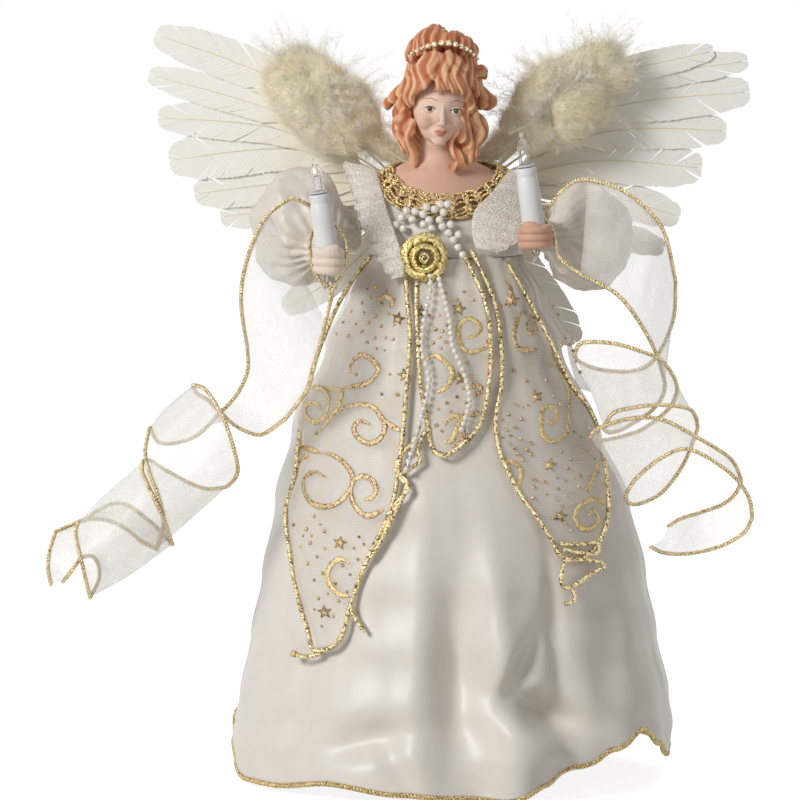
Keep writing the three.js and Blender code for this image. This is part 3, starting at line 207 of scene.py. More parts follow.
@dataclass
class Shape:
    """Points and faces that are being put together, with a value at each point."""

    points: Points = field(default_factory=list)
    faces: Faces = field(default_factory=list)
    values: list[float] = field(default_factory=list)
    uvs: list[tuple[float, float]] = field(default_factory=list)

    def grid(
        self, rows: list[Points], round_rows: bool = False, round_across: bool = False,
        values: list[list[float]] | None = None, uvs: list[list[tuple[float, float]]] | None = None,
    ) -> "Shape":
        """Adds a grid of points.

        Args:
            rows: rows of points, all of one length.
            round_rows: whether the last row joins the first.
            round_across: whether each row joins up with itself.
            values: a value for each point.
            uvs: cloth places for each point, in millimetres.

        Returns:
            This shape.
        """
        start = len(self.points)
        wide = len(rows[0])
        for i, row in enumerate(rows):
            self.points.extend(row)
            self.values.extend(values[i] if values else [0.0] * wide)
            self.uvs.extend(uvs[i] if uvs else [(0.0, 0.0)] * wide)
        last_row = len(rows) if round_rows else len(rows) - 1
        last_across = wide if round_across else wide - 1
        for i in range(last_row):
            a = start + i * wide
            b = start + ((i + 1) % len(rows)) * wide
            for j in range(last_across):
                k = (j + 1) % wide
                self.faces.append((a + j, a + k, b + k, b + j))
        return self

    def closed(self, rings: list[Points], value: float = 0.0) -> "Shape":
        """Adds a form of rings and closes its two ends.

        Args:
            rings: its rings, from one end to the other.
            value: the value of its points.

        Returns:
            This shape.
        """
        start, around = len(self.points), len(rings[0])
        self.grid(rings, False, True, [[value] * around for _ in rings])
        end = len(self.points) - around
        self.faces.append(tuple(start + k for k in reversed(range(around))))
        self.faces.append(tuple(end + k for k in range(around)))
        return self

    def sheet(
        self, rows: list[Points], thickness: float, values: list[list[float]] | None = None,
        uvs: list[list[tuple[float, float]]] | None = None,
    ) -> "Shape":
        """Adds a closed sheet of cloth of a thickness along rows of points.

        Args:
            rows: rows of points at the middle of the cloth.
            thickness: how thick it is.
            values: a value for each point.
            uvs: cloth places for each point, in millimetres.

        Returns:
            This shape.
        """
        last, wide = len(rows) - 1, len(rows[0])
        front, back = [], []
        for i, row in enumerate(rows):
            down = [b - a for a, b in zip(rows[max(0, i - 1)], rows[min(last, i + 1)])]
            offsets = []
            for j in range(wide):
                across = row[min(wide - 1, j + 1)] - row[max(0, j - 1)]
                offsets.append(across.cross(down[j]).normalized() * (thickness / 2))
            front.append([p + n for p, n in zip(row, offsets)])
            back.append([p - n for p, n in zip(row, offsets)])
        start = len(self.points)
        flip = [list(reversed(part)) for part in (back, values or [], uvs or [])]
        count = (last + 1) * wide
        self.grid(front, values=values, uvs=uvs)
        self.grid(flip[0], values=flip[1] or None, uvs=flip[2] or None)

        def far(i: int, j: int) -> int:
            """Returns the back point's index behind a front point."""
            return start + count + (last - i) * wide + j

        for i in range(last):
            a, b = start + i * wide, start + (i + 1) * wide
            self.faces.append((a, b, far(i + 1, 0), far(i, 0)))
            self.faces.append((b + wide - 1, a + wide - 1, far(i, wide - 1), far(i + 1, wide - 1)))
        for j in range(wide - 1):
            a, b = start + j, start + last * wide + j
            self.faces.append((a + 1, a, far(0, j), far(0, j + 1)))
            self.faces.append((b, b + 1, far(last, j + 1), far(last, j)))
        return self

    def rope(
        self, points: Points, radius: float, pitch: float, strands: int = 2, sides: int = 6,
        steps: int = 8, closed: bool = False,
    ) -> "Shape":
        """Adds a cord of strands that twist round a line.

        Args:
            points: the line.
            radius: the whole cord's radius.
            pitch: how far one turn of a strand runs.
            strands: how many strands there are.
            sides: how many sides a strand has.
            steps: how many points a strand has to a turn.
            closed: whether the line comes back to its start.

        Returns:
            This shape.
        """
        length = sum((b - a).length for a, b in zip(points, points[1:]))
        LOG.info("a cord %.0f mm long, %.1f mm thick", length, radius * 2)
        count = max(6, int(length / pitch * steps))
        middle = spline(points, count, closed)
        turns = round(length / pitch) or 1
        frames = frames_along(middle, closed)
        two_strands, more_strands = 0.52, 0.46
        thin = radius * (two_strands if strands == 2 else more_strands)
        for s in range(strands):
            line = []
            for i, (p, (_, a, b)) in enumerate(zip(middle, frames)):
                angle = (turns * i / count + s / strands) * math.tau
                line.append(p + (a * math.cos(angle) + b * math.sin(angle)) * (radius - thin))
            self.tube(line, thin, sides, closed, value=s / strands)
        return self

    def tube(
        self, points: Points, radius: float | list[float], sides: int = 8,
        closed: bool = False, value: float = 0.0,
    ) -> "Shape":
        """Adds a tube along a line, with its ends closed.

        Args:
            points: the line.
            radius: one radius, or one for each point.
            sides: how many sides the tube has.
            closed: whether the line comes back to its start.
            value: the value of its points.

        Returns:
            This shape.
        """
        rows = []
        for i, (_, a, b) in enumerate(frames_along(points, closed)):
            r = radius[i] if isinstance(radius, list) else radius
            rows.append([
                points[i] + a * (r * math.cos(c)) + b * (r * math.sin(c)) for c in angles(sides)
            ])
        if closed:
            return self.grid(rows, True, True, [[value] * sides for _ in rows])
        return self.closed(rows, value)

    def ball(
        self, middle: Vector, halves: Vector, around: int = 12, rows: int = 8,
        turn: Quaternion | None = None, value: float = 0.0,
    ) -> "Shape":
        """Adds a ball with three half sizes, turned about its middle.

        Args:
            middle: its middle.
            halves: its half sizes along its own axes.
            around: how many points go round it.
            rows: how many rows of faces it has.
            turn: how it is turned.
            value: the value of its points.

        Returns:
            This shape.
        """
        turn = turn or Quaternion()
        start = len(self.points)

        def at(u: float, v: float) -> Vector:
            """Returns a point of the ball from its turn and its height angle."""
            spot = Vector((math.cos(u) * math.sin(v), math.sin(u) * math.sin(v), math.cos(v)))
            return middle + turn @ Vector(s * h for s, h in zip(spot, halves))

        grid = [[at(u, i / rows * math.pi) for u in angles(around)] for i in range(1, rows)]
        self.grid(grid, False, True, [[value] * around for _ in grid])
        for pole, row, flip in ((0.0, 0, False), (math.pi, rows - 2, True)):
            self.points.append(at(0, pole))
            self.values.append(value)
            self.uvs.append((0.0, 0.0))
            top = len(self.points) - 1
            first = start + row * around
            for k in range(around):
                a, b = first + k, first + (k + 1) % around
                self.faces.append((top, a, b) if flip else (top, b, a))
        return self

    def piece(
        self, name: str, finish: "Finish", body: Body, slot: str,
        replaces: tuple[str, ...] = (), smooth_faces: bool = True,
    ) -> Thing:
        """Makes the mesh, dresses it and lets it ride on its body.

        Args:
            name: the piece's name.
            finish: what it is made of.
            body: what it rides on.
            slot: the record's slot for its finish; not used.
            replaces: the frame's nodes that it stands for.
            smooth_faces: whether its faces shade smoothly.

        Returns:
            The new object.
        """
        mesh = bpy.data.meshes.new(name)
        mesh.from_pydata([p * MM for p in self.points], [], self.faces)
        mesh.attributes.new("tone", "FLOAT", "POINT").data.foreach_set("value", self.values)
        layer = mesh.uv_layers.new(name="cloth")
        for loop in mesh.loops:
            u, v = self.uvs[loop.vertex_index]
            layer.data[loop.index].uv = (u * MM, v * MM)
        mesh.polygons.foreach_set("use_smooth", [smooth_faces] * len(mesh.polygons))
        mesh.materials.append(finish.material())
        mesh.validate()
        form = bmesh.new()
        form.from_mesh(mesh)
        bmesh.ops.remove_doubles(form, verts=form.verts, dist=WELD * MM)
        bmesh.ops.recalc_face_normals(form, faces=form.faces)
        form.to_mesh(mesh)
        form.free()
        mesh.update()
        thing = bpy.data.objects.new(name, mesh)
        bpy.context.scene.collection.objects.link(thing)
        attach(thing, body.value)
        if replaces:
            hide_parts(*replaces)
        LOG.info("%s: %d points, rides on %s", name, len(self.points), body.value)
        return thing


@dataclass(frozen=True)
class PictureMap:
    """Turns picture places to places on the figure, for the camera's low front view."""

    axis_column: float = 445
    base_row: float = 797
    top_row: float = 22
    height: float = 400
    hem_radius: float = 115
    hem_share: float = 0.91
    rise: float = 0.1045
    distance: float = 3000

    @property
    def drop(self) -> float:
        """How far the hem's front lies below the base in the view."""
        return self.hem_radius * self.hem_share * self.rise

    @property
    def unit(self) -> float:
        """Millimetres to a picture point at the figure's axis."""
        return (self.height + self.drop) / (self.base_row - self.top_row)

    def at(self, column: float, row: float, depth: float) -> Vector:
        """Returns the place that a picture point shows at a depth."""
        return Vector((
            (column - self.axis_column) * self.unit * (1 + depth / self.distance),
            depth,
            (self.base_row - row) * self.unit - self.drop - self.rise * depth,
        ))


PICTURE = PictureMap()


def add(
    tree: Tree, kind: str, settings: dict | None = None,
    links: dict | None = None, output: int | str = 0,
) -> Socket:
    """Adds a node with its settings and links.

    Args:
        tree: where it goes.
        kind: the node's type, without its ShaderNode start.
        settings: properties by name, or socket values by socket name or number.
        links: what each socket, by name or number, is fed from.
        output: which output to return.

    Returns:
        The node's output socket.
    """
    node = tree.nodes.new("ShaderNode" + kind)
    for key, value in (settings or {}).items():
        if isinstance(key, str) and hasattr(node, key):
            setattr(node, key, value)
        else:
            node.inputs[key].default_value = value
    for key, socket in (links or {}).items():
        tree.links.new(socket, node.inputs[key])
    return node.outputs[output]


@dataclass
class Surface:
    """A material's nodes and shader, with the patterns that a finish feeds them from."""

    tree: Tree
    shader: Node

    def set(self, values: dict[str, float | tuple]) -> None:
        """Sets the shader's sockets, by their names."""
        for name, value in values.items():
            self.shader.inputs[name].default_value = value

    def feed(self, name: str, socket: Socket) -> None:
        """Feeds one of the shader's sockets."""
        self.tree.links.new(socket, self.shader.inputs[name])

    def pattern(
        self, kind: str, size_mm: float, cloth: bool = False, output: int = 0,
        **settings: float | str,
    ) -> Socket:
        """Adds a pattern whose features have a real size.

        Args:
            kind: the pattern node's type.
            size_mm: how large its features are, or how far apart its bands.
            cloth: whether it lies on the flat cloth, or else on the piece as it stands.
            output: which output to return.
            settings: its further settings.

        Returns:
            The pattern's socket.
        """
        if cloth:
            spot = add(self.tree, "UVMap", {"uv_map": "cloth"})
        else:
            spot = add(self.tree, "TexCoord", output="Object")
        scale = 1 / (size_mm * MM) / (WAVE if kind == "Wave" else 1)
        return add(self.tree, "Tex" + kind, {"Scale": scale, **settings}, {"Vector": spot}, output)

    def cells(self, size_mm: float) -> Socket:
        """Returns a pattern of cells that each have a value of their own."""
        return add(self.tree, "SeparateColor", None, {0: self.pattern("Voronoi", size_mm, output=1)})

    def tone(self) -> Socket:
        """Returns the value that the piece has at each point."""
        return add(self.tree, "Attribute", {"attribute_name": "tone"}, output="Fac")

    def join(self, one: Socket, other: Socket, how: str = "ADD") -> Socket:
        """Returns two patterns in one: their sum, or what else is asked for."""
        return add(self.tree, "Math", {"operation": how}, {0: one, 1: other})

    def spread(
        self, pattern: Socket, low: float, high: float, start: float = 0.0, end: float = 1.0
    ) -> Socket:
        """Changes a pattern's values.

        Args:
            pattern: the pattern.
            low: what its value start becomes.
            high: what its value end becomes.
            start: its lower value.
            end: its higher value.

        Returns:
            The new pattern.
        """
        return add(self.tree, "MapRange", {1: start, 2: end, 3: low, 4: high}, {0: pattern})

    def rough(self, pattern: Socket, low: float, high: float) -> None:
        """Feeds the roughness, between two values, from a pattern."""
        self.feed("Roughness", self.spread(pattern, low, high))

    def shade(
        self, pattern: Socket, dark: str, light: str, low: float = 0.3, high: float = 0.7
    ) -> None:
        """Feeds the base colour from a pattern.

        Args:
            pattern: the pattern.
            dark: the colour where it is low.
            light: the colour where it is high.
            low: the pattern's value for dark.
            high: the pattern's value for light.
        """
        step = self.spread(pattern, 0.0, 1.0, low, high)
        colours = {1: linear(dark), 2: linear(light)}
        self.feed("Base Color", add(self.tree, "MixRGB", colours, {0: step}))

    def relief(
        self, height: Socket, deep_mm: float, strength: float, under: Socket | None = None
    ) -> Socket:
        """Feeds the shader's normal from a pattern of a real depth.

        Args:
            height: the pattern.
            deep_mm: its depth.
            strength: how much of it shows.
            under: a coarser relief that it lies on.

        Returns:
            The relief's socket.
        """
        links = {"Height": height}
        if under is not None:
            links["Normal"] = under
        bump = add(self.tree, "Bump", {"Distance": deep_mm * MM, "Strength": strength}, links)
        self.feed("Normal", bump)
        return bump


@dataclass(frozen=True)
class Finish:
    """What a surface is made of and how it was made.

    Each finish sets its own constants on the shader and feeds its colour, roughness and
    surface relief from patterns whose scale comes from real sizes.
    """

    name: str
    colour: str
    rough: float = 0.5

    def material(self) -> bpy.types.Material:
        """Returns the material, made once for each name."""
        found = bpy.data.materials.get(self.name)
        if found:
            return found
        made = bpy.data.materials.new(self.name)
        made.use_nodes = True
        tree = made.node_tree
        surface = Surface(tree, tree.nodes["Principled BSDF"])
        surface.set({"Base Color": linear(self.colour), "Roughness": self.rough})
        self.dress(surface)
        return made

    def darker(self, share: float) -> str:
        """Returns the finish's colour with its sRGB values times a share."""
        return "".join(f"{int(int(self.colour[i : i + 2], 16) * share):02X}" for i in (0, 2, 4))

    def dress(self, surface: Surface) -> None:
        """Adds what this finish shows beyond one colour.

        Args:
            surface: the material's nodes and shader.
        """
        raise NotImplementedError


@dataclass(frozen=True)
class Satin(Finish):
    """Duchess satin, woven with long floats: a soft moving sheen over faint creases."""

    crease_mm: float = 11
    rib_mm: float = 0.5
    crease_deep_mm: float = 0.22

    def dress(self, surface: Surface) -> None:
        """Creases from handling, a rib drawn coarser than the 0.1 mm thread, sheen, and painted shade and
        light that follow the creases.

        Args:
            surface: the material's nodes and shader.
        """
        surface.set({"Sheen Weight": 0.25, "Sheen Roughness": 0.35, "Specular IOR Level": 0.45})
        crease = surface.pattern("Noise", self.crease_mm, Detail=3.0, Distortion=0.6)
        rib = surface.pattern("Wave", self.rib_mm, True, 1, Distortion=0.4, bands_direction="Y")
        soft = surface.relief(crease, self.crease_deep_mm, 0.2)
        surface.relief(rib, 0.03, 0.25, soft)
        # Painted shade and light: the colour follows the crease pattern, from the finish's colour in its
        # hollows to E9E4DB on its ridges.
        surface.shade(crease, self.colour, "E9E4DB", 0.2, 0.9)
        surface.rough(surface.pattern("Noise", 1.5, True), self.rough - 0.06, self.rough + 0.08)


@dataclass(frozen=True)
class Organza(Finish):
    """Organza, woven from stiff fine filament: see-through, with a crisp silky glint."""

    cover: float = 0.4
    thread_mm: float = 0.7
    gilt: str = ""

    def dress(self, surface: Surface) -> None:
        """Threads both ways, drawn coarser than the 0.15 mm real ones, cover the view.

        Args:
            surface: the material's nodes and shader.
        """
        surface.set({"Sheen Weight": 0.35, "Specular IOR Level": 0.5})
        warp, weft = (
            surface.pattern("Wave", self.thread_mm, True, 1, bands_direction=way, Distortion=0.2)
            for way in ("X", "Y")
        )
        weave = surface.join(warp, weft, "MAXIMUM")
        cloudy = surface.pattern("Noise", 9, True, Detail=3.0)
        both = add(surface.tree, "Mix", {"Factor": 0.8}, {"A": weave, "B": cloudy})
        surface.feed("Alpha", surface.spread(both, self.cover * 0.8, self.cover * 1.25, 0.2, 0.6))
        surface.relief(weave, 0.03, 0.1)
        if self.gilt:
            surface.shade(cloudy, self.colour, self.gilt, 0.35, 0.75)


@dataclass(frozen=True)
class MetalThread(Finish):
    """Metallised polyester cord, twisted or braided: bright flat facets and dark gaps, whose glints and
    shade are painted into its colour.
    """

    dark: str = "7A5A26"
    grain_mm: float = 0.7
    metal: float = 0.75

    def dress(self, surface: Surface) -> None:
        """Each turn of foil catches the light on its own; the cord's sparkle is painted into its colour,
        in grains of glint and shade.

        Args:
            surface: the material's nodes and shader.
        """
        surface.set({"Metallic": self.metal})
        grain = surface.cells(self.grain_mm)
        # Painted glints and shade: each cell gets its own colour between the dark one and the finish's
        # colour.
        surface.shade(grain, self.dark, self.colour, 0.05, 0.6)
        surface.relief(surface.pattern("Voronoi", self.grain_mm), self.grain_mm * 0.4, 0.8)
        surface.rough(grain, self.rough - 0.12, self.rough + 0.2)


@dataclass(frozen=True)
class Lace(Finish):
    """Cotton raschel lace, knitted: raised cream flowers on an open net."""

    net_mm: float = 1.8
    flower_mm: float = 8.5

    def dress(self, surface: Surface) -> None:
        """Net threads show as thin lines, and the flowers as closed, raised patches.

        Args:
            surface: the material's nodes and shader.
        """
        net = surface.pattern("Voronoi", self.net_mm, True, feature="DISTANCE_TO_EDGE", Randomness=0.9)
        flower = surface.pattern("Voronoi", self.flower_mm, True, feature="SMOOTH_F1", Randomness=0.8)
        petal = surface.pattern("Noise", 1.6, True, Detail=3.0)
        line = surface.spread(net, 1.0, 0.0, 0.06, 0.15)
        closed = surface.spread(surface.join(flower, petal), 1.0, 0.0, 0.72, 0.84)
        cover = surface.join(line, closed, "MAXIMUM")
        surface.feed("Alpha", surface.spread(cover, 0.5, 0.97))
        surface.set({"Sheen Weight": 0.3})
        surface.relief(cover, 0.2, 0.45)
        surface.shade(petal, self.colour, "FBF8F2", 0.3, 0.7)


@dataclass(frozen=True)
class Pearl(Finish):
    """Moulded bead with a pearl essence coat: milky, with a tight highlight."""

    def dress(self, surface: Surface) -> None:
        """A clear coat over a milky body; the dip coat is a little uneven.

        Args:
            surface: the material's nodes and shader.
        """
        surface.set({"Coat Weight": 1.0, "Coat Roughness": 0.05, "Subsurface Weight": 0.15})
        surface.set({"Subsurface Radius": (0.002, 0.0015, 0.001)})
        surface.shade(surface.pattern("Noise", 2.2), self.colour, "F4EFE4")


@dataclass(frozen=True)
class Bisque(Finish):
    """Unglazed bisque porcelain, slip cast and painted: matt, warm, finely grained."""

    flush_and_painted_light: str = ""

    def dress(self, surface: Surface) -> None:
        """Fine bisque grain, and a second colour where the tone value rises: airbrushed blush, and
        painted light and shade where a piece's tone sets it so.

        Args:
            surface: the material's nodes and shader.
        """
        surface.set({"Subsurface Weight": 0.08, "Subsurface Radius": (0.003, 0.0015, 0.001)})
        surface.relief(surface.pattern("Noise", 0.6, Detail=4.0), 0.05, 0.35)
        uneven = surface.spread(surface.pattern("Noise", 5), -0.08, 0.08)
        # The tone carries airbrushed blush, and painted light and shade where pieces set it so.
        tone_light_and_shade = surface.join(surface.tone(), uneven)
        surface.shade(tone_light_and_shade, self.colour, self.flush_and_painted_light or self.colour, 0.0, 1.0)


@dataclass(frozen=True)
class Paint(Finish):
    """Hand-laid china paint on the bisque: flat, slightly satin lines."""

    def dress(self, surface: Surface) -> None:
        """The brush leaves the colour a little thinner in places.

        Args:
            surface: the material's nodes and shader.
        """
        surface.shade(surface.pattern("Noise", 0.8), self.darker(0.86), self.colour)
        surface.set({"Coat Weight": 0.1})


@dataclass(frozen=True)
class CutStone(Finish):
    """Foiled glass rhinestone in a stamped cup: hard bright flashes."""

    def dress(self, surface: Surface) -> None:
        """Facets near a millimetre break up what the stone mirrors, and paint its reflections into the
        colour as dark and bright cells.

        Args:
            surface: the material's nodes and shader.
        """
        surface.set({"Metallic": 0.85})
        facets_and_flashes = surface.cells(0.9)
        # Painted reflection: each facet's cell is dark or bright in the colour.
        surface.shade(facets_and_flashes, "8C7B62", self.colour, 0.1, 0.7)
        surface.relief(facets_and_flashes, 0.3, 0.7)


@dataclass(frozen=True)
class Feather(Finish):
    """Goose feather, washed and left undyed: pale barbs with a silky edge light."""

    light: str = "FBF8EF"

    def dress(self, surface: Surface) -> None:
        """Cream near the quill, paler out on the vane, with uneven streaks.

        Args:
            surface: the material's nodes and shader.
        """
        surface.set({"Sheen Weight": 0.4})
        uneven = surface.spread(surface.pattern("Noise", 3), -0.2, 0.2)
        both = surface.join(surface.tone(), uneven)
        surface.shade(both, self.colour, self.light, 0.0, 1.0)


@dataclass(frozen=True)
class Plastic(Finish):
    """Moulded plastic: even colour, a soft highlight and a trace of mould texture."""

    def dress(self, surface: Surface) -> None:
        """The tool's texture is too fine to see, so it is drawn at 0.8 mm.

        Args:
            surface: the material's nodes and shader.
        """
        surface.set({"IOR": 1.49})
        skin = surface.pattern("Noise", 0.8)
        surface.relief(skin, 0.02, 0.3)
        surface.rough(skin, self.rough - 0.04, self.rough + 0.06)
        surface.shade(surface.pattern("Noise", 14), self.darker(0.97), self.colour)


@dataclass(frozen=True)
class DrawnGlass(Finish):
    """Clear drawn soda glass: a thin wall that shows as bright edges."""

    def dress(self, surface: Surface) -> None:
        """Drawing leaves the wall slightly rippled.

        Args:
            surface: the material's nodes and shader.
        """
        surface.set({"Transmission Weight": 1.0, "IOR": 1.45})
        surface.relief(surface.pattern("Noise", 4), 0.05, 0.25)


@dataclass(frozen=True)
class DrawnWire(Finish):
    """Drawn steel wire: bright lines along it."""

    def dress(self, surface: Surface) -> None:
        """The die's marks are drawn at half a millimetre.

        Args:
            surface: the material's nodes and shader.
        """
        surface.set({"Metallic": 1.0})
        mark = surface.pattern("Noise", 0.5)
        surface.rough(mark, self.rough - 0.1, self.rough + 0.15)
        surface.shade(mark, "6E6E6C", self.colour)


@dataclass(frozen=True)
class Pulp(Finish):
    """Pressed board or moulded foam: dull, with fine fibres or cells."""

    grain_mm: float = 1.2

    def dress(self, surface: Surface) -> None:
        """Fibres or cells near a millimetre across, in two close tones.

        Args:
            surface: the material's nodes and shader.
        """
        grain = surface.pattern("Noise", self.grain_mm, Detail=5.0)
        surface.relief(grain, 0.1, 0.5)
        surface.shade(grain, self.darker(0.88), self.colour)


SATIN = Satin("duchess_satin_woven", "E2DCD4", 0.38)
# The sleeves' satin, with finer, deeper creases; its colour, darker than the skirt's, is painted shade.
SHADED_SLEEVE_SATIN = Satin("satin_gathered_painted_shade", "DAD1C2", 0.4, crease_mm=7, crease_deep_mm=0.8)
RIBBON_ORGANZA = Organza("organza_ribbon_woven", "FFFDF8", 0.4, cover=0.22)
PANEL_ORGANZA = Organza("organza_printed_cream", "FFFBF6", 0.45, cover=0.32, gilt="FBF0DC")
SIDE_ORGANZA = Organza("organza_net_cream", "F7F2E6", 0.45, cover=0.4)
EDGE_CORD = MetalThread("gold_cord_twisted", "EEDDB0", 0.3, dark="6E5228", grain_mm=0.9)
HEM_CORD = MetalThread("gold_cord_fine", "CDB684", 0.36, dark="75603C", grain_mm=0.6)
WIRED_CORD = MetalThread("gold_silver_cord_wired", "E0CFA8", 0.36, dark="9A865C", grain_mm=0.6)
GIMP = MetalThread("gold_gimp_braided", "E8D09A", 0.28, dark="664A1E", grain_mm=0.6)
GLITTER = MetalThread("copper_glitter_glued", "DCC094", 0.35, dark="5E4226", grain_mm=0.6, metal=0.55)
# Paler copy of the glitter: painted sheen on the scrolls of turned cloth, and a paler tone on some dots
# and stars.
GLITTER_PALE_SHEEN = MetalThread("glitter_glued_pale_and_sheen", "E6CF9A", 0.4, dark="8A6A38", grain_mm=0.5, metal=0.6)
GOLD_RIBBON = MetalThread("gold_lame_ribbon_woven", "F0DE9C", 0.3, dark="806624", grain_mm=0.7, metal=0.7)
LACE_THREAD = Satin("cotton_thread_twisted", "F1ECE2", 0.7)
LACE = Lace("raschel_lace_cotton", "F2E8D6", 0.8)
PEARL = Pearl("pearl_bead_dipped", "EAE3D8", 0.16)
SKIN = Bisque("bisque_painted_skin", "EFCFBB", 0.62, flush_and_painted_light="C98F76")
# The fists are one bisque: the left one's paler copy is painted light, the right one's darker copy
# painted shade.
LIT_PALE_FIST = Bisque("bisque_hand_painted_light", "F3E4D6", 0.62, flush_and_painted_light="DDBBA6")
SHADED_FIST_SKIN = Bisque("bisque_hand_painted_shade", "D9AC94", 0.62, flush_and_painted_light="B07A5E")
# The hair's pale second colour is painted highlight on its raised strands.
HAIR = Bisque("bisque_painted_auburn", "B8663F", 0.6, flush_and_painted_light="FFD0A2")
CHAIN = MetalThread("cup_chain_brass", "D9B66A", 0.25, grain_mm=1.2, metal=1.0)
IRIS = Paint("china_paint_brown", "2E1C14", 0.4)
WHITE_OF_EYE = Paint("china_paint_white", "F4ECE6", 0.4)
LINE_PAINT = Paint("china_paint_dark_line", "3A241C", 0.5)
BROW_PAINT = Paint("china_paint_brow", "B5714E", 0.6)
LIP_PAINT = Paint("china_paint_lip", "D5806F", 0.45)
STONE = CutStone("rhinestone_foiled", "F6F1E6", 0.15)
GOOSE = Feather("goose_feather_cream", "FCF4DE", 0.6, light="FFFEF8")
QUILL = Feather("goose_quill_horn", "EFE4C6", 0.45, light="F8F2E0")
MARABOU = Feather("marabou_down_cream", "FFF3D2", 0.8, light="FFFDF2")
SOCKET_PLASTIC = Plastic("polypropylene_moulded_white", "ECECEC", 0.32)
BASE_PLASTIC = Plastic("polypropylene_moulded_grey", "D5D3D0", 0.4)
GLASS = DrawnGlass("soda_glass_drawn", "FFFFFF", 0.02)
WIRE = DrawnWire("steel_wire_drawn", "A8A8A6", 0.3)
LEAD_COVER = Plastic("pvc_lead_extruded", "CFC6BA", 0.45)
CARD = Pulp("board_pressed", "D8CFBD", 0.9)
CONE_BOARD = Pulp("board_rolled_cone", "E6E0D2", 0.88)
FOAM = Pulp("foam_moulded", "E6E0D2", 0.9, grain_mm=2)


WIDTH_SHARES = [
    (0, 1.03), (0.07, 1.02), (0.15, 0.97), (0.27, 0.91), (0.38, 0.86), (0.53, 0.79),
    (0.66, 0.7), (0.83, 0.53), (0.92, 0.43), (1, 0.35),
]
DEPTH_SHARES = [(0, 0.95), (0.5, 0.9), (0.8, 0.82), (1, 0.722)]
FOLDS = [
    (0.022, 0.016, -0.055, 0.75), (0.052, 0.014, 0.035, 0.6), (0.088, 0.02, -0.075, 0.42),
    (0.14, 0.03, 0.02, 0.4), (0.215, 0.02, -0.02, 0.5), (0.33, 0.03, -0.05, 0.6),
    (0.42, 0.03, 0.03, 0.6), (0.5, 0.03, -0.05, 0.7), (-0.07, 0.03, 0.015, 0.5),
    (-0.13, 0.02, -0.03, 0.45), (-0.2, 0.02, 0.02, 0.5), (-0.25, 0.014, -0.025, 0.6),
    (-0.35, 0.03, 0.03, 0.6), (-0.43, 0.03, -0.05, 0.6),
]
HEM_SHARES = [
    (-0.5, 0.8), (-0.42, 1), (-0.32, 0.96), (-0.272, 0.64), (-0.236, 0.4), (-0.185, 0.085),
    (-0.15, 0.09), (-0.09, 0.2), (-0.036, 0.13), (0, 0.09), (0.036, 0.065), (0.07, 0.2),
    (0.095, 0.36), (0.128, 0.5), (0.16, 0.66), (0.186, 0.46), (0.236, 0.24), (0.33, 0.32),
    (0.42, 0.5), (0.5, 0.8),
]


@dataclass
class SkirtForm:
    """The skirt's outer surface, by a turn from the front and a height."""

    hem_radius: float = 115
    hem_lift: float = 50
    top: float = 276.85
    widest: float = 0.235

    def at(self, turn: float, height: float, lift: float = 0) -> Vector:
        """Returns a place on the skirt.

        Args:
            turn: share of a full turn from the front, growing towards +X.
            height: how high the place is.
            lift: how far it stands off the cloth.

        Returns:
            The place.
        """
        share = clamp(height / self.top)
        width = self.hem_radius * eased_table(WIDTH_SHARES, share)
        depth = width * eased_table(DEPTH_SHARES, share)
        fold = 0.0
        for at, half, out, fade in FOLDS:
            off = turn - at
            off -= round(off)
            fold += out * clamp(1 - share / fade) * math.exp(-((off / half) ** 2))
        reach = self.hem_radius * fold + lift
        side, ahead = math.sin(turn * math.tau), math.cos(turn * math.tau)
        at_hem, above = 3 - 2 * side, 5 + 3.4 * side
        sway = mix(at_hem, above, smooth(0, 0.16, share)) * smooth(0.75, 0.45, share)
        return Vector(((width + reach) * side + sway, -(depth + reach) * ahead, height))

    def hem(self, turn: float) -> float:
        """Returns how high the hem is at a turn."""
        return self.hem_lift * eased_table(HEM_SHARES, turn)

    def place(self, column: float, row: float) -> tuple[float, float]:
        """Finds what a picture point shows on the front.

        Args:
            column: its column in the picture.
            row: its row in the picture.

        Returns:
            The turn and the height.
        """
        depth = -self.hem_radius / 2
        found = (0.0, 0.0)
        depth_tries, turn_tries = 6, 14
        for _ in range(depth_tries):
            goal = PICTURE.at(column, row, depth)
            low, high = -self.widest, self.widest
            for _ in range(turn_tries):
                middle = (low + high) / 2
                if self.at(middle, goal.z).x < goal.x:
                    low = middle
                else:
                    high = middle
            found = ((low + high) / 2, goal.z)
            depth = self.at(*found).y
        return found

    def on(self, column: float, row: float, lift: float) -> Vector:
        """Returns the place a lift off the skirt that a picture point shows."""
        return self.at(*self.place(column, row), lift)


FORM = SkirtForm()


# Each fold: picture place of its middle, half length and half width in picture points, lean in
# degrees from straight down towards the right, and how far it stands out in millimetres
FRONT_FOLDS = [
    (454, 684, 96, 21, 1, -14.0), (497, 650, 120, 18, 3, 8.0), (418, 650, 110, 18, 0, 3.2),
    (524, 664, 38, 12, -32, -9.0), (547, 706, 46, 16, 68, -19.0), (552, 742, 50, 13, 68, 6.5),
    (360, 736, 46, 16, 108, -7.0), (556, 632, 70, 10, 1, -4.4), (608, 660, 90, 20, -8, -3.6),
    (296, 690, 70, 15, -6, -3.0), (345, 610, 70, 14, 8, -2.2), (396, 762, 30, 13, 35, -4.0),
]


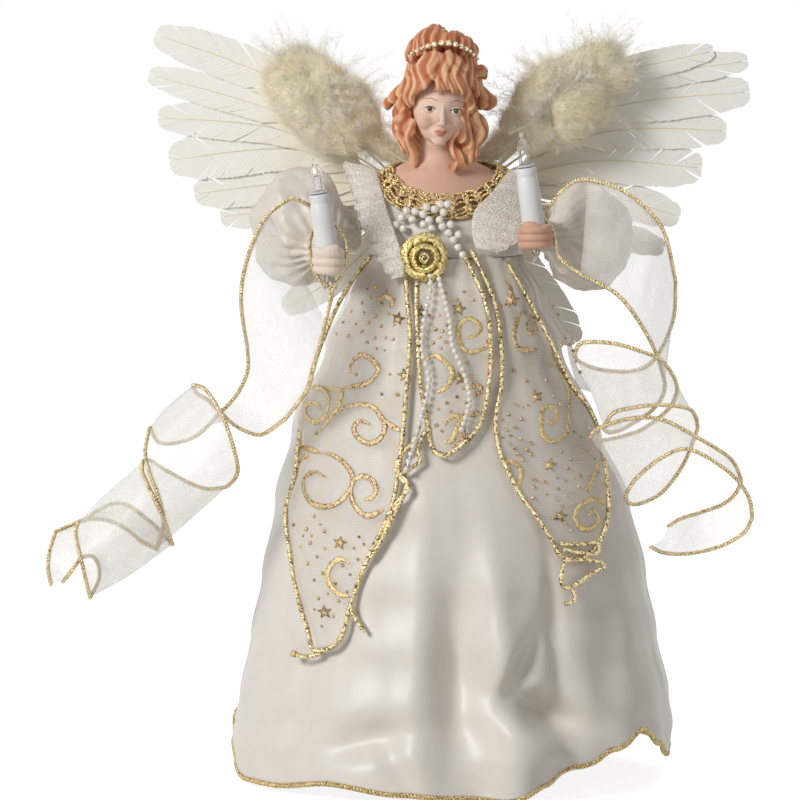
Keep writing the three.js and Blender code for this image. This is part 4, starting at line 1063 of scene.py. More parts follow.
@dataclass
class Skirt:
    """Gathered satin skirt with a fine gold cord sewn over its hem."""

    form: SkirtForm = field(default_factory=lambda: FORM)
    cloth: float = 0.9
    gap: float = 0.3
    cord: float = 1.6
    columns: int = 420
    rows: int = 84
    gathers: int = 34
    round_in_picture: float = 1240
    flat_round: float = 660
    fold_reach: float = 2.4
    fold_places: list[tuple] = field(default_factory=list)

    def __post_init__(self) -> None:
        """Finds where the picture's folds lie on the cloth."""
        for column, row, long, wide, lean, rise in FRONT_FOLDS:
            turn, height = self.form.place(column, row)
            way = Vector((math.sin(math.radians(lean)), -math.cos(math.radians(lean))))
            self.fold_places.append((turn, height / PICTURE.unit, long, wide, way, rise))

    def crease(self, turn: float, share: float, height: float) -> float:
        """Small relief of the cloth: gathers at the waist, soft creases and the front's folds.

        Args:
            turn: share of a full turn from the front.
            share: share of the way from the hem to the waist.
            height: how high the place is.

        Returns:
            How far the cloth stands out there.
        """
        deep = 0.0
        if abs(turn) < 0.26:
            for at, level, long, wide, lean, rise in self.fold_places:
                u, v = (turn - at) * self.round_in_picture, height / PICTURE.unit - level
                along = u * lean.x + v * lean.y
                across = u * lean.y - v * lean.x
                if abs(along) < long * self.fold_reach and abs(across) < wide * self.fold_reach:
                    deep += rise * math.exp(-((along / long) ** 2) - (across / wide) ** 2)
        waist = 0.55 * smooth(0.84, 1.0, share) * math.sin(turn * math.tau * self.gathers)
        waist += 0.3 * smooth(0.8, 1.0, share) * math.sin(turn * math.tau * 13 + 1.3)
        angle = turn * math.tau
        spot = Vector((math.sin(angle) * 2.6, math.cos(angle) * 2.6, height * 0.011))
        soft = noise.noise(spot) * 1.5 * smooth(1.0, 0.55, share) * smooth(0.0, 0.05, share)
        fine = noise.noise(Vector((spot.x * 3.4, spot.y * 3.4, height * 0.035))) * 0.5
        behind = smooth(0.2, 0.3, abs(turn)) * smooth(1.0, 0.86, share)
        pleat = math.sin(turn * math.tau * 11 + 0.8) + 0.6 * math.sin(turn * math.tau * 19 + 2.2 * share)
        return waist + soft + fine * smooth(1.0, 0.8, share) + deep + 1.5 * behind * pleat

    def build(self) -> None:
        """Makes the skirt and its hem cord."""
        shell, places = [], []
        for inside in (False, True):
            levels = [(i / self.rows) ** 1.15 for i in range(self.rows + 1)]
            for level in reversed(levels) if inside else levels:
                ring, spots = [], []
                for i in range(self.columns + 1):
                    turn = i / self.columns - 0.5
                    low = self.form.hem(turn) + self.gap
                    height = mix(low, self.form.top, level)
                    lift = self.crease(turn, level, height) - (self.cloth if inside else 0)
                    ring.append(self.form.at(turn, height, lift))
                    spots.append((turn * self.flat_round, height))
                shell.append(ring)
                places.append(spots)
        skirt = Shape().grid(shell, round_rows=True, uvs=places).piece(
            "skirt_satin", SATIN, Body.FIGURE, "satin", ("skirt",)
        )
        trim = []
        stitches = 720
        for i in range(stitches):
            turn = i / stitches - 0.5
            height = self.form.hem(turn)
            p = self.form.at(turn, height, self.crease(turn, 0, height) - self.cloth / 2)
            trim.append(p + Vector((0, 0, -self.gap)))
        cord = Shape().rope(trim, self.cord, 3.6, closed=True, sides=6, steps=7).piece(
            "hem_cord_gold", HEM_CORD, Body.FIGURE, "gold_cord", ("hem_cord",)
        )


@dataclass
class Bodice:
    """Satin bodice, drawn over the torso; the seams down its front are not built."""

    half_width: float = 39.5
    half_depth: float = 28.5
    bottom: float = 277.15
    top: float = 316
    slope_front: float = 0.72
    slope_back: float = 0.12
    cloth: float = 1.0
    around: int = 160

    def ring(self, t: float, thin: float) -> Points:
        """Makes one ring of the bodice.

        Args:
            t: share of the bodice's height.
            thin: how far the ring lies inside the outer face.

        Returns:
            The ring's points.
        """
        swell = eased_table([(0, 1.02), (0.35, 1.04), (0.7, 1), (1, 0.9)], t)
        z = mix(self.bottom, self.top, t)
        result = []
        for a in angles(self.around):
            crease = 0.22 * noise.noise(Vector((math.cos(a) * 3, math.sin(a) * 3, z * 0.06)))
            crease += 0.12 * math.sin(a * 38) * smooth(0.3, 0.0, t)
            x = (self.half_width * swell - thin + crease) * math.cos(a)
            y = (self.half_depth * swell - thin + crease) * math.sin(a)
            tilt = t * t * y * (self.slope_front if y < 0 else self.slope_back)
            result.append(Vector((x, y, z + tilt)))
        return result

    def build(self) -> None:
        """Makes the bodice."""
        levels = [i / 22 for i in range(23)]
        rings = [self.ring(t, 0) for t in levels] + [self.ring(t, self.cloth) for t in reversed(levels)]
        spots = [[(j * 1.3, i * 1.8) for j in range(self.around)] for i in range(len(rings))]
        piece = Shape().grid(rings, True, True, uvs=spots).piece(
            "bodice_satin", SATIN, Body.FIGURE, "satin", ("bodice",)
        )


LEFT_EDGES: list[tuple[Pixel, Pixel]] = [
    ((378, 256), (410, 262)), ((352, 292), (410, 295)), ((330, 335), (412, 335)),
    ((316, 385), (409, 380)), ((307, 440), (405, 425)), ((302, 475), (400, 470)),
    ((293, 512), (392, 508)), ((297, 560), (372, 552)), ((304, 595), (354, 598)),
    ((313, 628), (346, 628)), ((318, 645), (335, 642)),
]
CENTRE_EDGES: list[tuple[Pixel, Pixel]] = [
    ((420, 262), (463, 258)), ((418, 300), (480, 300)), ((419, 340), (486, 340)),
    ((421, 380), (485, 385)), ((427, 420), (476, 425)), ((433, 448), (448, 452)),
]
RIGHT_EDGES: list[tuple[Pixel, Pixel]] = [
    ((468, 250), (500, 262)), ((490, 300), (525, 305)), ((497, 345), (545, 345)),
    ((497, 385), (562, 382)), ((492, 420), (585, 415)), ((497, 452), (595, 452)),
    ((515, 490), (602, 495)), ((533, 515), (601, 520)), ((548, 538), (592, 541)),
    ((556, 552), (575, 556)),
]
SIDE_EDGES: list[tuple[Pixel, Pixel]] = [
    ((528, 290), (545, 300)), ((546, 322), (561, 332)), ((558, 352), (574, 362)),
    ((568, 388), (580, 392)),
]
# Glued scrolls: darker ones lie flat to the eye, the pale ones on turned cloth, where their paler glitter
# is a painted sheen
LEFT_DARK: list[list[Pixel]] = [
    [(355, 373), (356.6, 364), (360.6, 357.5), (367, 354.2), (375, 359.4), (380.2, 368),
     (377, 376), (369.7, 383), (360.6, 385.6), (348.7, 387.5)],
    [(338, 415), (346, 408.4), (355.3, 404.8), (367, 404), (376.3, 407), (383, 415),
     (386.8, 424), (384.2, 434.6), (376.3, 441), (367, 441), (359, 434.6), (356.6, 426.7),
     (362, 420.2), (372.4, 422.8)],
    [(384, 417.6), (392, 424), (401, 429.3)],
    [(322.5, 451), (335.6, 453.5), (344.8, 458.8), (352.7, 468.6), (355.3, 479),
     (351.4, 489.5), (342.2, 500), (330.4, 504.5), (318.6, 502.5), (310.7, 494.7),
     (307.4, 484.2), (309.4, 476.4), (318.6, 471.2), (330.4, 475)],
    [(354, 484.2), (359.2, 476.4), (367, 474.4), (375, 479), (378.3, 487), (375, 494.7),
     (366.5, 497.3)],
    [(354, 484.2), (354, 496), (359.2, 506.5), (367, 512.4), (376.3, 511.7), (385, 506.5)],
]
LEFT_PALE: list[list[Pixel]] = [
    [(311, 388), (322.5, 387), (329, 390), (333, 399.3), (331.7, 411), (326.4, 419),
     (318.6, 421.5), (312.5, 416.3), (312, 407), (317.2, 402.5), (323.8, 405.2), (324.5, 409)],
    [(322.5, 387), (335.6, 388.8), (346, 390.8), (344.8, 400.6), (341, 409.7), (333, 420.2),
     (326.4, 430.7)],
    [(300.5, 450), (309.4, 447), (322.5, 451)],
    [(304, 464.6), (308, 457), (313.3, 455.5)],
    [(381, 300), (388, 296), (394, 300), (393, 308)],
    [(352, 560), (344, 556), (336, 560), (331, 570), (333, 581), (341, 590), (351, 592)],
]
CENTRE_PALE: list[list[Pixel]] = [
    [(465, 338), (473.8, 334.8), (477.7, 327.8), (472.2, 320.8), (464.4, 319.2),
     (458, 326.3), (456.6, 337.2), (459.7, 346.6), (467.5, 352), (480, 349)],
    [(427, 359.8), (433, 355.2), (440.2, 357.5), (450.3, 370), (448.8, 381), (442.5, 388.8),
     (434.7, 392)],
    [(443.6, 424.3), (450.7, 415.4), (459.6, 417), (456, 426), (450.7, 438.6), (443.6, 440.4)],
]
CENTRE_DARK: list[list[Pixel]] = [
    [(470.6, 395), (477.7, 392), (477, 385.6), (470.6, 385.6), (469, 388.8)],
    [(480, 410), (470.4, 413.6), (465, 411.8), (461.4, 422.5), (460.5, 438.6), (452, 446)],
    [(480, 349), (484.5, 345), (484.8, 338.8)],
]
RIGHT_DARK: list[list[Pixel]] = [
    [(530, 318.4), (520.6, 312.2), (512.8, 318.4), (509.7, 331), (511.3, 343.4),
     (517.5, 349.7), (531.6, 349)],
    [(530, 320), (531.6, 329.4), (525.3, 333.3), (521.4, 327.8), (525.3, 320)],
    [(500, 282), (506, 290), (505, 302), (497, 306)],
    [(545, 350), (552, 368), (562, 390), (565, 413.6), (561.4, 431.4), (554.3, 438.6)],
    [(562, 390), (573, 399), (583, 409)],
]
RIGHT_PALE: list[list[Pixel]] = [
    [(554.3, 438.6), (545.4, 440.4), (538.2, 433.2), (536.4, 417), (540, 406.4), (549, 408.2),
     (551.6, 415.4), (547, 422.5), (541.8, 420.7)],
    [(598, 508.2), (597, 499.3), (588.2, 497.5), (575.7, 503), (570.4, 513.6), (574, 524.3),
     (583, 527), (591.8, 522.5), (592.7, 513.6), (586.4, 509), (583, 513.6)],
    [(497, 458.2), (508, 460), (516.8, 467), (516.8, 478), (511, 486)],
    [(593.6, 460), (588.2, 478), (583, 490.4)],
]
LEFT_DOTS: list[Pixel] = [
    (352.7, 336), (367, 331.3), (378.3, 337.8), (388, 337.8), (396, 339.2), (371.7, 342.4),
    (379, 348.3), (387.5, 350.3), (392.7, 373.8), (384.2, 393.4), (399.3, 394), (360.6, 374.4),
    (321.2, 432.6), (318.6, 514.3), (298.2, 523.5), (311.3, 527.4), (324.5, 522.2),
    (328.4, 528.7), (308, 534), (316, 534), (361.2, 534), (372, 290), (381, 287), (390, 291),
    (376, 298), (386, 304), (366, 303), (396, 300), (358, 311), (370, 313), (380, 316),
    (391, 314), (350, 322), (361, 324), (373, 323), (384, 326), (397, 325), (343, 334),
    (305, 545), (315, 541), (328, 546), (321, 554), (312, 561), (334, 560), (345, 562),
    (326, 570), (352, 571), (318, 577), (338, 580), (349, 588), (360, 556), (331, 590),
    (322, 595), (341, 597), (318, 606), (336, 612), (325, 622), (356, 545), (366, 541),
]
CENTRE_DOTS: list[Pixel] = [
    (439.4, 315.3), (435.5, 329.4), (441.7, 331), (439.4, 337.2), (444.8, 341.9), (429.2, 315.3),
    (446, 325), (433, 343), (440, 348), (465.2, 363), (462, 372), (468, 376), (461, 388),
    (455, 396), (464, 402), (446, 402), (438, 408), (432, 400), (470, 300), (462, 292),
    (431, 290), (445, 293), (455, 300), (449, 410), (436, 424), (441, 430),
]
RIGHT_DOTS: list[Pixel] = [
    (499, 419), (504.3, 413.6), (512.3, 403.8), (518.6, 406.4), (524, 404.6), (517.7, 418),
    (502.5, 428.8), (511.4, 426), (494.5, 432.3), (499, 436), (507, 434), (516.8, 437.7),
    (505.2, 442), (510.5, 446.6), (514, 452), (523, 448.4), (527.5, 442), (526.6, 452.9),
    (518.6, 458.2), (510.5, 370.7), (582.9, 427.9), (569.5, 431.4), (576.6, 436.8),
    (569.5, 443.9), (578.4, 444.8), (556, 450), (584.6, 452), (577.5, 454.6), (565, 458.2),
    (577.5, 460.9), (562.3, 467), (589, 458.2), (574.8, 474.3), (584.6, 473.4), (592.7, 470.7),
    (597, 481.4), (568.6, 477), (560.5, 478.8), (552.5, 476), (573, 485), (581, 487.7),
    (566.8, 490.4), (560.5, 494), (553.4, 486.8), (552.5, 497.5), (557, 503.8), (566.8, 502),
    (531, 477.9), (541, 480.5), (530, 485), (542.7, 492), (529.3, 495.7), (548, 396),
    (555, 404), (546, 365), (536, 358), (525, 362), (533, 372), (541, 380), (521, 380),
    (549, 515), (560, 520), (566, 528),
]
SIDE_DOTS: list[Pixel] = [
    (548, 306), (548.8, 314.5), (555, 338), (549.6, 345), (559, 344.2), (563.6, 350.4),
    (565, 361), (557, 330), (568, 372),
]
LEFT_STARS: list[Pixel] = [(343, 540), (328, 608), (401, 318.4), (406, 374.7)]
CENTRE_STARS: list[Pixel] = [(457.3, 309), (422, 312), (458, 378)]
RIGHT_STARS: list[Pixel] = [(531, 395.7), (545.4, 463.6), (556, 513.6), (507, 300)]
EDGE_TAILS: list[list[Pixel]] = [
    [(354, 598), (357, 610), (362, 618), (367, 626)], [(325, 648), (318, 651), (309, 652), (301, 650)],
    [(554.3, 540.4), (572, 541.5), (590, 541), (588.2, 551), (570, 549), (557.5, 546)],
    [(559.6, 556.4), (575, 556.5), (588.2, 558.2), (597, 563.6), (582, 572), (565, 583),
     (556.5, 581.4), (555.5, 568), (559.6, 556.4)],
    [(563.2, 583.2), (568, 590), (567, 597.5), (559, 599.3)],
    [(420, 425), (414, 440), (404, 452), (398, 468), (408, 478), (405, 492), (396, 510), (388, 530)],
    [(425, 430), (418, 446), (421, 458), (412, 466), (402, 474), (410, 486), (398, 500),
     (390, 520), (382, 540), (372, 556)],
]


@dataclass
class Panel:
    """One printed organza panel with a gold cord sewn along its edges."""

    name: str
    edges: list[tuple[Pixel, Pixel]]
    dark: list[list[Pixel]]
    pale: list[list[Pixel]]
    dots: list[Pixel]
    stars: list[Pixel]
    lift: float
    flat: tuple[float, float]
    area: float
    replaces: tuple[str, ...]
    seed: int = 1
    finish: Finish = PANEL_ORGANZA
    slot: str = "printed_sheer"
    thickness: float = 0.28
    cord: float = 1.3
    wave: float = 0.7
    rows: int = 96
    columns: int = 36
    spread: float = 500
    flat_round: float = 600
    star_corners: int = 10
    form: SkirtForm = field(default_factory=lambda: FORM)

    def fold(self, turn: float, height: float) -> float:
        """Soft upright waves of the cloth, deeper near its gathered top.

        Args:
            turn: share of a full turn from the front.
            height: how high the place is.

        Returns:
            How far the cloth stands out there.
        """
        wave = math.sin(turn * math.tau * 15 + self.seed) + 0.6 * math.sin(turn * math.tau * 29 + 2)
        top = smooth(120, 270, height)
        return self.wave * wave * mix(0.35, 1.0, top)

    def lies(self, turn: float, height: float, over: float = 0) -> Vector:
        """Returns a place on the panel, a distance over its middle."""
        return self.form.at(turn, height, self.lift + over + self.fold(turn, height))

    def on(self, pixel: Pixel, over: float) -> Vector:
        """Returns the place over the panel that a picture point shows."""
        turn, height = self.form.place(*pixel)
        return self.lies(turn, height, over)

    def cloth(self) -> Thing:
        """Makes the panel's cloth between its two edges.

        Returns:
            The cloth.
        """
        ends = [[Vector((*self.form.place(*pixel), 0)) for pixel in pair] for pair in self.edges]
        sides = [
            spline([Vector((p[k].x * self.spread, p[k].y, 0)) for p in ends], self.rows)
            for k in (0, 1)
        ]
        rows, places = [], []
        for i in range(self.rows):
            a, b = sides[0][i], sides[1][i]
            row, spots = [], []
            for j in range(self.columns):
                t = j / (self.columns - 1)
                turn, height = mix(a.x, b.x, t) / self.spread, mix(a.y, b.y, t)
                row.append(self.lies(turn, height))
                spots.append((turn * self.flat_round, height))
            rows.append(row)
            places.append(spots)
        return Shape().sheet(rows, self.thickness, uvs=places).piece(
            f"overlay_{self.name}_organza", self.finish, Body.FIGURE, self.slot, self.replaces[:1]
        )

    def edge(self) -> Thing:
        """Makes the cord round the panel's edge.

        Returns:
            The cord.
        """
        over = self.thickness / 2 + self.cord * 0.8
        down = [outer for outer, _ in self.edges]
        up = [inner for _, inner in reversed(self.edges)]
        route = [self.on(pixel, over) for pixel in down + up]
        return Shape().rope(route, self.cord * 1.05, 3.2, strands=3, sides=5, steps=7).piece(
            f"overlay_{self.name}_cord", EDGE_CORD, Body.FIGURE, "gold_cord", self.replaces[1:]
        )

    def scroll(self, shape: Shape, line: list[Pixel], dice: random.Random) -> None:
        """Adds one glued scroll, thin at its start and end and fuller in between.

        Args:
            shape: the form that gets it.
            line: its middle line in the picture.
            dice: where its uneven width is drawn from.
        """
        points = spline([self.on(pixel, self.thickness / 2 + 0.18) for pixel in line], len(line) * 10)
        last, sides = len(points) - 1, 8
        rings = []
        for i, p in enumerate(points):
            ends = min(smooth(0, 0.25, i / last), smooth(1, 0.85, i / last))
            radius = mix(0.7, 1.45, ends) * dice.uniform(0.8, 1.12)
            along = (points[min(last, i + 1)] - points[max(0, i - 1)]).normalized()
            out = Vector((p.x, p.y * 1.2, 20)).normalized()
            across = along.cross(out).normalized()
            rise = across.cross(along)
            rings.append([
                p + across * (math.cos(a) * radius) + rise * (math.sin(a) * 0.3) for a in angles(sides)
            ])
        shape.closed(rings)

    def print_on(self) -> list[Thing]:
        """Makes the glued scrolls, dots and stars.

        Returns:
            The darker and the paler prints.
        """
        dice = random.Random(self.seed)
        dark, pale = Shape(), Shape()
        for shape, lines in ((dark, self.dark), (pale, self.pale)):
            for line in lines:
                self.scroll(shape, line, dice)
        for pixel in self.dots:
            size = dice.uniform(0.75, 1.3)
            middle = self.on(pixel, self.thickness / 2 + 0.1)
            (dark if dice.random() < 0.8 else pale).ball(middle, Vector((size, size, size * 0.9)), 7, 4)
        for pixel in self.stars:
            over = self.thickness / 2 + 0.3
            lean = math.pi / 2 + dice.uniform(-0.3, 0.3)
            rim = []
            for k in range(self.star_corners):
                reach = (3.9 if k % 2 == 0 else 1.75) / PICTURE.unit
                a = lean + k / self.star_corners * math.tau
                corner = (pixel[0] + math.cos(a) * reach, pixel[1] - math.sin(a) * reach)
                rim.append(self.on(corner, over))
            shape = dark if dice.random() < 0.6 else pale
            start = len(shape.points)
            shape.points += rim + [self.on(pixel, over + 0.5), self.on(pixel, over - 0.35)]
            shape.values += [0.0] * (self.star_corners + 2)
            shape.uvs += [(0.0, 0.0)] * (self.star_corners + 2)
            for k in range(self.star_corners):
                n = (k + 1) % self.star_corners
                shape.faces.append((start + k, start + n, start + self.star_corners))
                shape.faces.append((start + n, start + k, start + self.star_corners + 1))
        made = []
        for shape, finish, word in ((dark, GLITTER, "dark"), (pale, GLITTER_PALE_SHEEN, "pale")):
            if shape.points:
                made.append(shape.piece(
                    f"overlay_{self.name}_glitter_{word}", finish, Body.FIGURE, "gold_cord"
                ))
        return made

    def build(self) -> None:
        """Makes the whole panel."""
        cloth = self.cloth()
        trims = [self.edge()] if len(self.replaces) > 1 else []
        trims += self.print_on()


def fused(shape: Shape, voxel: float, relax: int = 3) -> Shape:
    """Joins a shape's forms into one skin.

    Args:
        shape: the forms, which may pass through each other.
        voxel: how fine the skin is, in millimetres.
        relax: how often it is smoothed.

    Returns:
        The one skin.
    """
    mesh = bpy.data.meshes.new("forms")
    mesh.from_pydata([p * MM for p in shape.points], [], shape.faces)
    form = bmesh.new()
    form.from_mesh(mesh)
    bmesh.ops.recalc_face_normals(form, faces=form.faces)
    form.to_mesh(mesh)
    form.free()
    thing = bpy.data.objects.new("forms", mesh)
    bpy.context.scene.collection.objects.link(thing)
    skin = thing.modifiers.new("skin", "REMESH")
    skin.mode = "VOXEL"
    skin.voxel_size = voxel * MM
    if relax:
        soft = thing.modifiers.new("soft", "SMOOTH")
        soft.factor = 0.5
        soft.iterations = relax
    made = bpy.data.meshes.new_from_object(thing.evaluated_get(bpy.context.evaluated_depsgraph_get()))
    result = Shape(
        [v.co / MM for v in made.vertices], [tuple(p.vertices) for p in made.polygons],
        [0.0] * len(made.vertices), [(v.co.x / MM + v.co.y / MM, v.co.z / MM) for v in made.vertices],
    )
    bpy.data.objects.remove(thing)
    bpy.data.meshes.remove(mesh)
    bpy.data.meshes.remove(made)
    return result


def moved_out(shape: Shape, rule: Callable[[Vector], float]) -> Shape:
    """Moves a skin's points along their normals.

    Args:
        shape: the skin.
        rule: how far a point moves, from its place.

    Returns:
        The same shape.
    """
    normals = [Vector() for _ in shape.points]
    for face in shape.faces:
        a, b, c = (shape.points[i] for i in face[:3])
        flat = (b - a).cross(c - a)
        for i in face:
            normals[i] += flat
    moved = []
    for p, n in zip(shape.points, normals):
        n.normalize()
        moved.append(p + n * rule(p))
    shape.points = moved
    return shape


VANE_SHARES = [
    (0, 0), (0.2, 0), (0.32, 0.6), (0.5, 0.98), (0.72, 1.1), (0.86, 1.02), (0.95, 0.74), (1, 0.3),
]
LEFT_FEATHERS: list[tuple[Pixel, Pixel, Pixel, float]] = [
    ((408, 186), (290, 84), (158, 31), 0.826), ((408, 186), (285, 112), (151, 71), 0.652),
    ((408, 186), (290, 128), (160, 114), 0.739), ((408, 186), (300, 146), (171, 157), 1.0),
    ((408, 186), (310, 178), (196, 191), 0.783), ((408, 186), (335, 200), (222, 214), 0.652),
    ((408, 186), (360, 255), (285, 308), 0.652),
]
RIGHT_FEATHERS: list[tuple[Pixel, Pixel, Pixel, float]] = [
    ((474, 186), (585, 85), (712, 47), 0.565), ((474, 186), (595, 88), (746, 57), 0.609),
    ((474, 186), (600, 108), (748, 88), 0.87), ((474, 186), (600, 130), (725, 127), 0.826),
    ((474, 186), (590, 158), (701, 165), 0.957), ((474, 186), (575, 185), (679, 214), 0.739),
    ((474, 186), (560, 215), (664, 246), 0.565), ((474, 186), (530, 270), (576, 342), 0.696),
]


@dataclass
class GooseFeather:
    """One flat goose feather: a quill with barbs that hold together in groups."""

    name: str
    root: Pixel
    middle: Pixel
    tip: Pixel
    width_share: float
    layer: int
    seed: int
    half_width: float = 12.2
    back: float = 32.5
    quill: float = 0.75
    barbs: int = 96

    def build(self) -> None:
        """Makes the quill and the two vanes."""
        dice = random.Random(self.seed)
        depth = self.back + self.layer + 0.5
        path = spline([PICTURE.at(*p, depth) for p in (self.root, self.middle, self.tip)], 120)
        last = len(path) - 1
        half = self.half_width * self.width_share
        vane = Shape()

        def on_path(share: float) -> tuple[Vector, Vector]:
            """Finds a place on the quill.

            Args:
                share: share of the way from its root to its tip.

            Returns:
                The place, and the way the quill runs there.
            """
            spot = clamp(share) * last
            i = min(last - 1, int(spot))
            return path[i].lerp(path[i + 1], spot - i), (path[i + 1] - path[i]).normalized()

        for side in (-1, 1):
            share, step = 0.2, 0.8 / self.barbs
            lag = 0.1
            while share < 0.985:
                held, lag = dice.uniform(-0.01, 0.01), -lag
                left = dice.randint(3, 14)
                rows, values = [], []
                for barb in range(left + 1):
                    here = share + barb * step
                    down = smooth(0.36, 0.22, here)
                    sweep = 0.075 + 0.05 * (1 - here) + held + 0.03 * down * dice.uniform(-1, 1)
                    reach = half * eased_table(VANE_SHARES, min(1, here + sweep * 0.8)) + 1.6 * down
                    reach *= dice.uniform(0.97, 1.02)
                    row = []
                    for k in range(7):
                        t = k / 6
                        p, along = on_path(min(1.0, here + sweep * t ** 1.25))
                        across = along.cross(Vector((0, 1, 0))).normalized()
                        cup = -0.35 * (t * reach / self.half_width) ** 2 + lag * t + 0.045 * (-1) ** barb
                        row.append(p + across * (side * (0.15 + reach * t)) + Vector((0, cup, 0)))
                    rows.append(row)
                    tone = mix(0.15, 1.0, smooth(0.2, 0.75, here)) * dice.uniform(0.85, 1.1)
                    values.append([tone] * 7)
                vane.sheet(rows, 0.14, values)
                share += left * step
        vane.piece(f"{self.name}_vane", GOOSE, Body.FIGURE, "goose_feather", (self.name,), False)
        radii = [mix(self.quill, 0.16, i / last) for i in range(last + 1)]
        lifted = [p + Vector((0, -0.1, 0)) for p in path]
        Shape().tube(lifted[::3], radii[::3], 7).piece(
            f"{self.name}_quill", QUILL, Body.FIGURE, "goose_feather"
        )


@dataclass
class MarabouPuff:
    """Marabou puff: fluffy down standing out from a short stem in all directions."""

    name: str
    middle: Pixel
    half_length: float
    half_width: float
    lean: float
    seed: int
    half_depth: float = 12
    back: float = 32.2
    strands: int = 4
    plumes: int = 150
    barbs: int = 44
    sleeve_starts: float = 46
    core_balls: int = 46
    root: Pixel = (441, 186)

    def clear(self, tip: Vector, centre: Vector) -> bool:
        """Returns whether a strand's tip keeps out of the way of the sleeve when its arm swings."""
        return tip.z > centre.z - self.half_width - 2 or abs(tip.x) < self.sleeve_starts

    def strand(
        self, shape: Shape, root: Vector, tip: Vector, bend: Vector, wide: float, tone: float
    ) -> None:
        """Adds one hair of down, three sided and drawn to a point.

        Args:
            shape: the form that gets it.
            root: where it starts.
            tip: its point.
            bend: how far its middle lies off the straight line.
            wide: how thick it is at its root.
            tone: the value of its points.
        """
        along = (tip - root).normalized()
        a = along.orthogonal().normalized() * wide
        b = along.cross(a)
        half = root.lerp(tip, 0.5) + bend
        start = len(shape.points)
        shape.points += [
            root + a, root - a * 0.5 + b * 0.87, root - a * 0.5 - b * 0.87,
            half + a * 0.7, half - (a - b * 1.7) * 0.35, half - (a + b * 1.7) * 0.35, tip,
        ]
        shape.values += [tone] * 7
        shape.uvs += [(0.0, 0.0)] * 7
        for k in range(3):
            n = (k + 1) % 3
            shape.faces.append((start + k, start + n, start + 3 + n, start + 3 + k))
            shape.faces.append((start + 3 + k, start + 3 + n, start + 6))
        shape.faces.append((start + 2, start + 1, start))

    def build(self) -> None:
        """Makes the puff."""
        dice = random.Random(self.seed)
        centre = PICTURE.at(*self.middle, self.back - self.half_depth)
        turn = Quaternion((0, 1, 0), -self.lean * math.tau)
        down = Shape()
        core = Shape()
        for _ in range(self.core_balls):
            s = dice.uniform(-0.85, 0.85)
            edge = math.sqrt(1 - s * s)
            a = dice.uniform(0, math.tau)
            spot = Vector((
                s * self.half_length * 0.82, math.sin(a) * self.half_depth * 0.35 * edge,
                math.cos(a) * self.half_width * 0.5 * edge,
            ))
            size = dice.uniform(0.75, 1.1) * (3.5 + 6 * edge)
            core.ball(centre + turn @ spot, Vector((size * 1.2, size * 0.6, size)), 12, 8, turn)
        neck = PICTURE.at(*self.root, self.back - 5)
        for k in range(14):
            size = mix(8, 4.5, k / 13)
            place = centre.lerp(neck, mix(0.25, 0.78, k / 13))
            core.ball(place, Vector((size, size * 0.6, size)), 12, 8, turn)
        soft = fused(core, 1.5, 14)
        stem = PICTURE.at(*self.root, self.back)
        for i, p in enumerate(soft.points):
            p.y = min(p.y, self.back + self.half_depth * 0.2)
            soft.values[i] = 0.35 + 0.5 * noise.noise(p * 0.15)
            away = (p - stem).normalized()
            axis = neck - centre
            share = clamp((p - centre).dot(axis) / axis.length_squared, 0, 0.8)
            out = (p - centre - axis * share).normalized()
            for _ in range(self.strands):
                fan = Vector((dice.gauss(0, 0.5), dice.gauss(-0.25, 0.4), dice.gauss(0, 0.5)))
                long = dice.uniform(3.5, 9)
                root = p + Vector((dice.gauss(0, 0.6), 0, dice.gauss(0, 0.6))) - out * 0.4
                tip = root + (away * 0.8 + out * 0.45 + fan).normalized() * long
                tip.y = min(tip.y, self.back + self.half_depth * 0.2)
                bend = Vector((dice.gauss(0, 0.6), dice.gauss(0, 0.3), dice.gauss(0, 0.6)))
                tone = 0.5 + 0.6 * noise.noise(p * 0.09) + dice.uniform(-0.15, 0.25)
                if self.clear(tip, centre):
                    self.strand(down, root, tip, bend, dice.uniform(0.05, 0.1), tone)
        soft.piece(f"marabou_{self.name}_heart", MARABOU, Body.FIGURE, "marabou")
        for _ in range(self.plumes):
            a = dice.gauss(math.pi / 2, 0.85) if dice.random() < 0.55 else dice.uniform(0, math.tau)
            front = dice.random() < 0.45
            way = Vector((math.cos(a), dice.gauss(0, 0.2) - 0.5 * front, math.sin(a))).normalized()
            start = Vector((
                math.cos(a) * self.half_length * 0.72, dice.uniform(-3, 3),
                math.sin(a) * self.half_width * 0.45,
            ))
            base = centre + turn @ start * (dice.uniform(0.0, 0.8) if front else 1)
            base.y -= self.half_depth * 0.5 * front
            sag = Vector((dice.gauss(0, 5), dice.gauss(0, 2), dice.gauss(-1, 3)))
            long = dice.uniform(12, 27) * (0.6 if front else 1)
            for k in range(self.barbs):
                t = k / self.barbs
                spot = base + turn @ way * (long * t) + sag * t * t
                fan = Vector((dice.gauss(0, 0.8), dice.gauss(0, 0.45), dice.gauss(0, 0.8)))
                tip = spot + (turn @ way * 0.9 + fan).normalized() * dice.uniform(4, 8) * mix(1.1, 0.6, t)
                bend = Vector((dice.gauss(0, 0.7), 0, dice.gauss(0, 0.7)))
                if self.clear(tip, centre):
                    self.strand(down, spot, tip, bend, dice.uniform(0.06, 0.11), mix(0.5, 1.0, t))
        down.piece(
            f"marabou_{self.name}_down", MARABOU, Body.FIGURE, "marabou",
            (f"marabou_{self.name}",), False,
        )


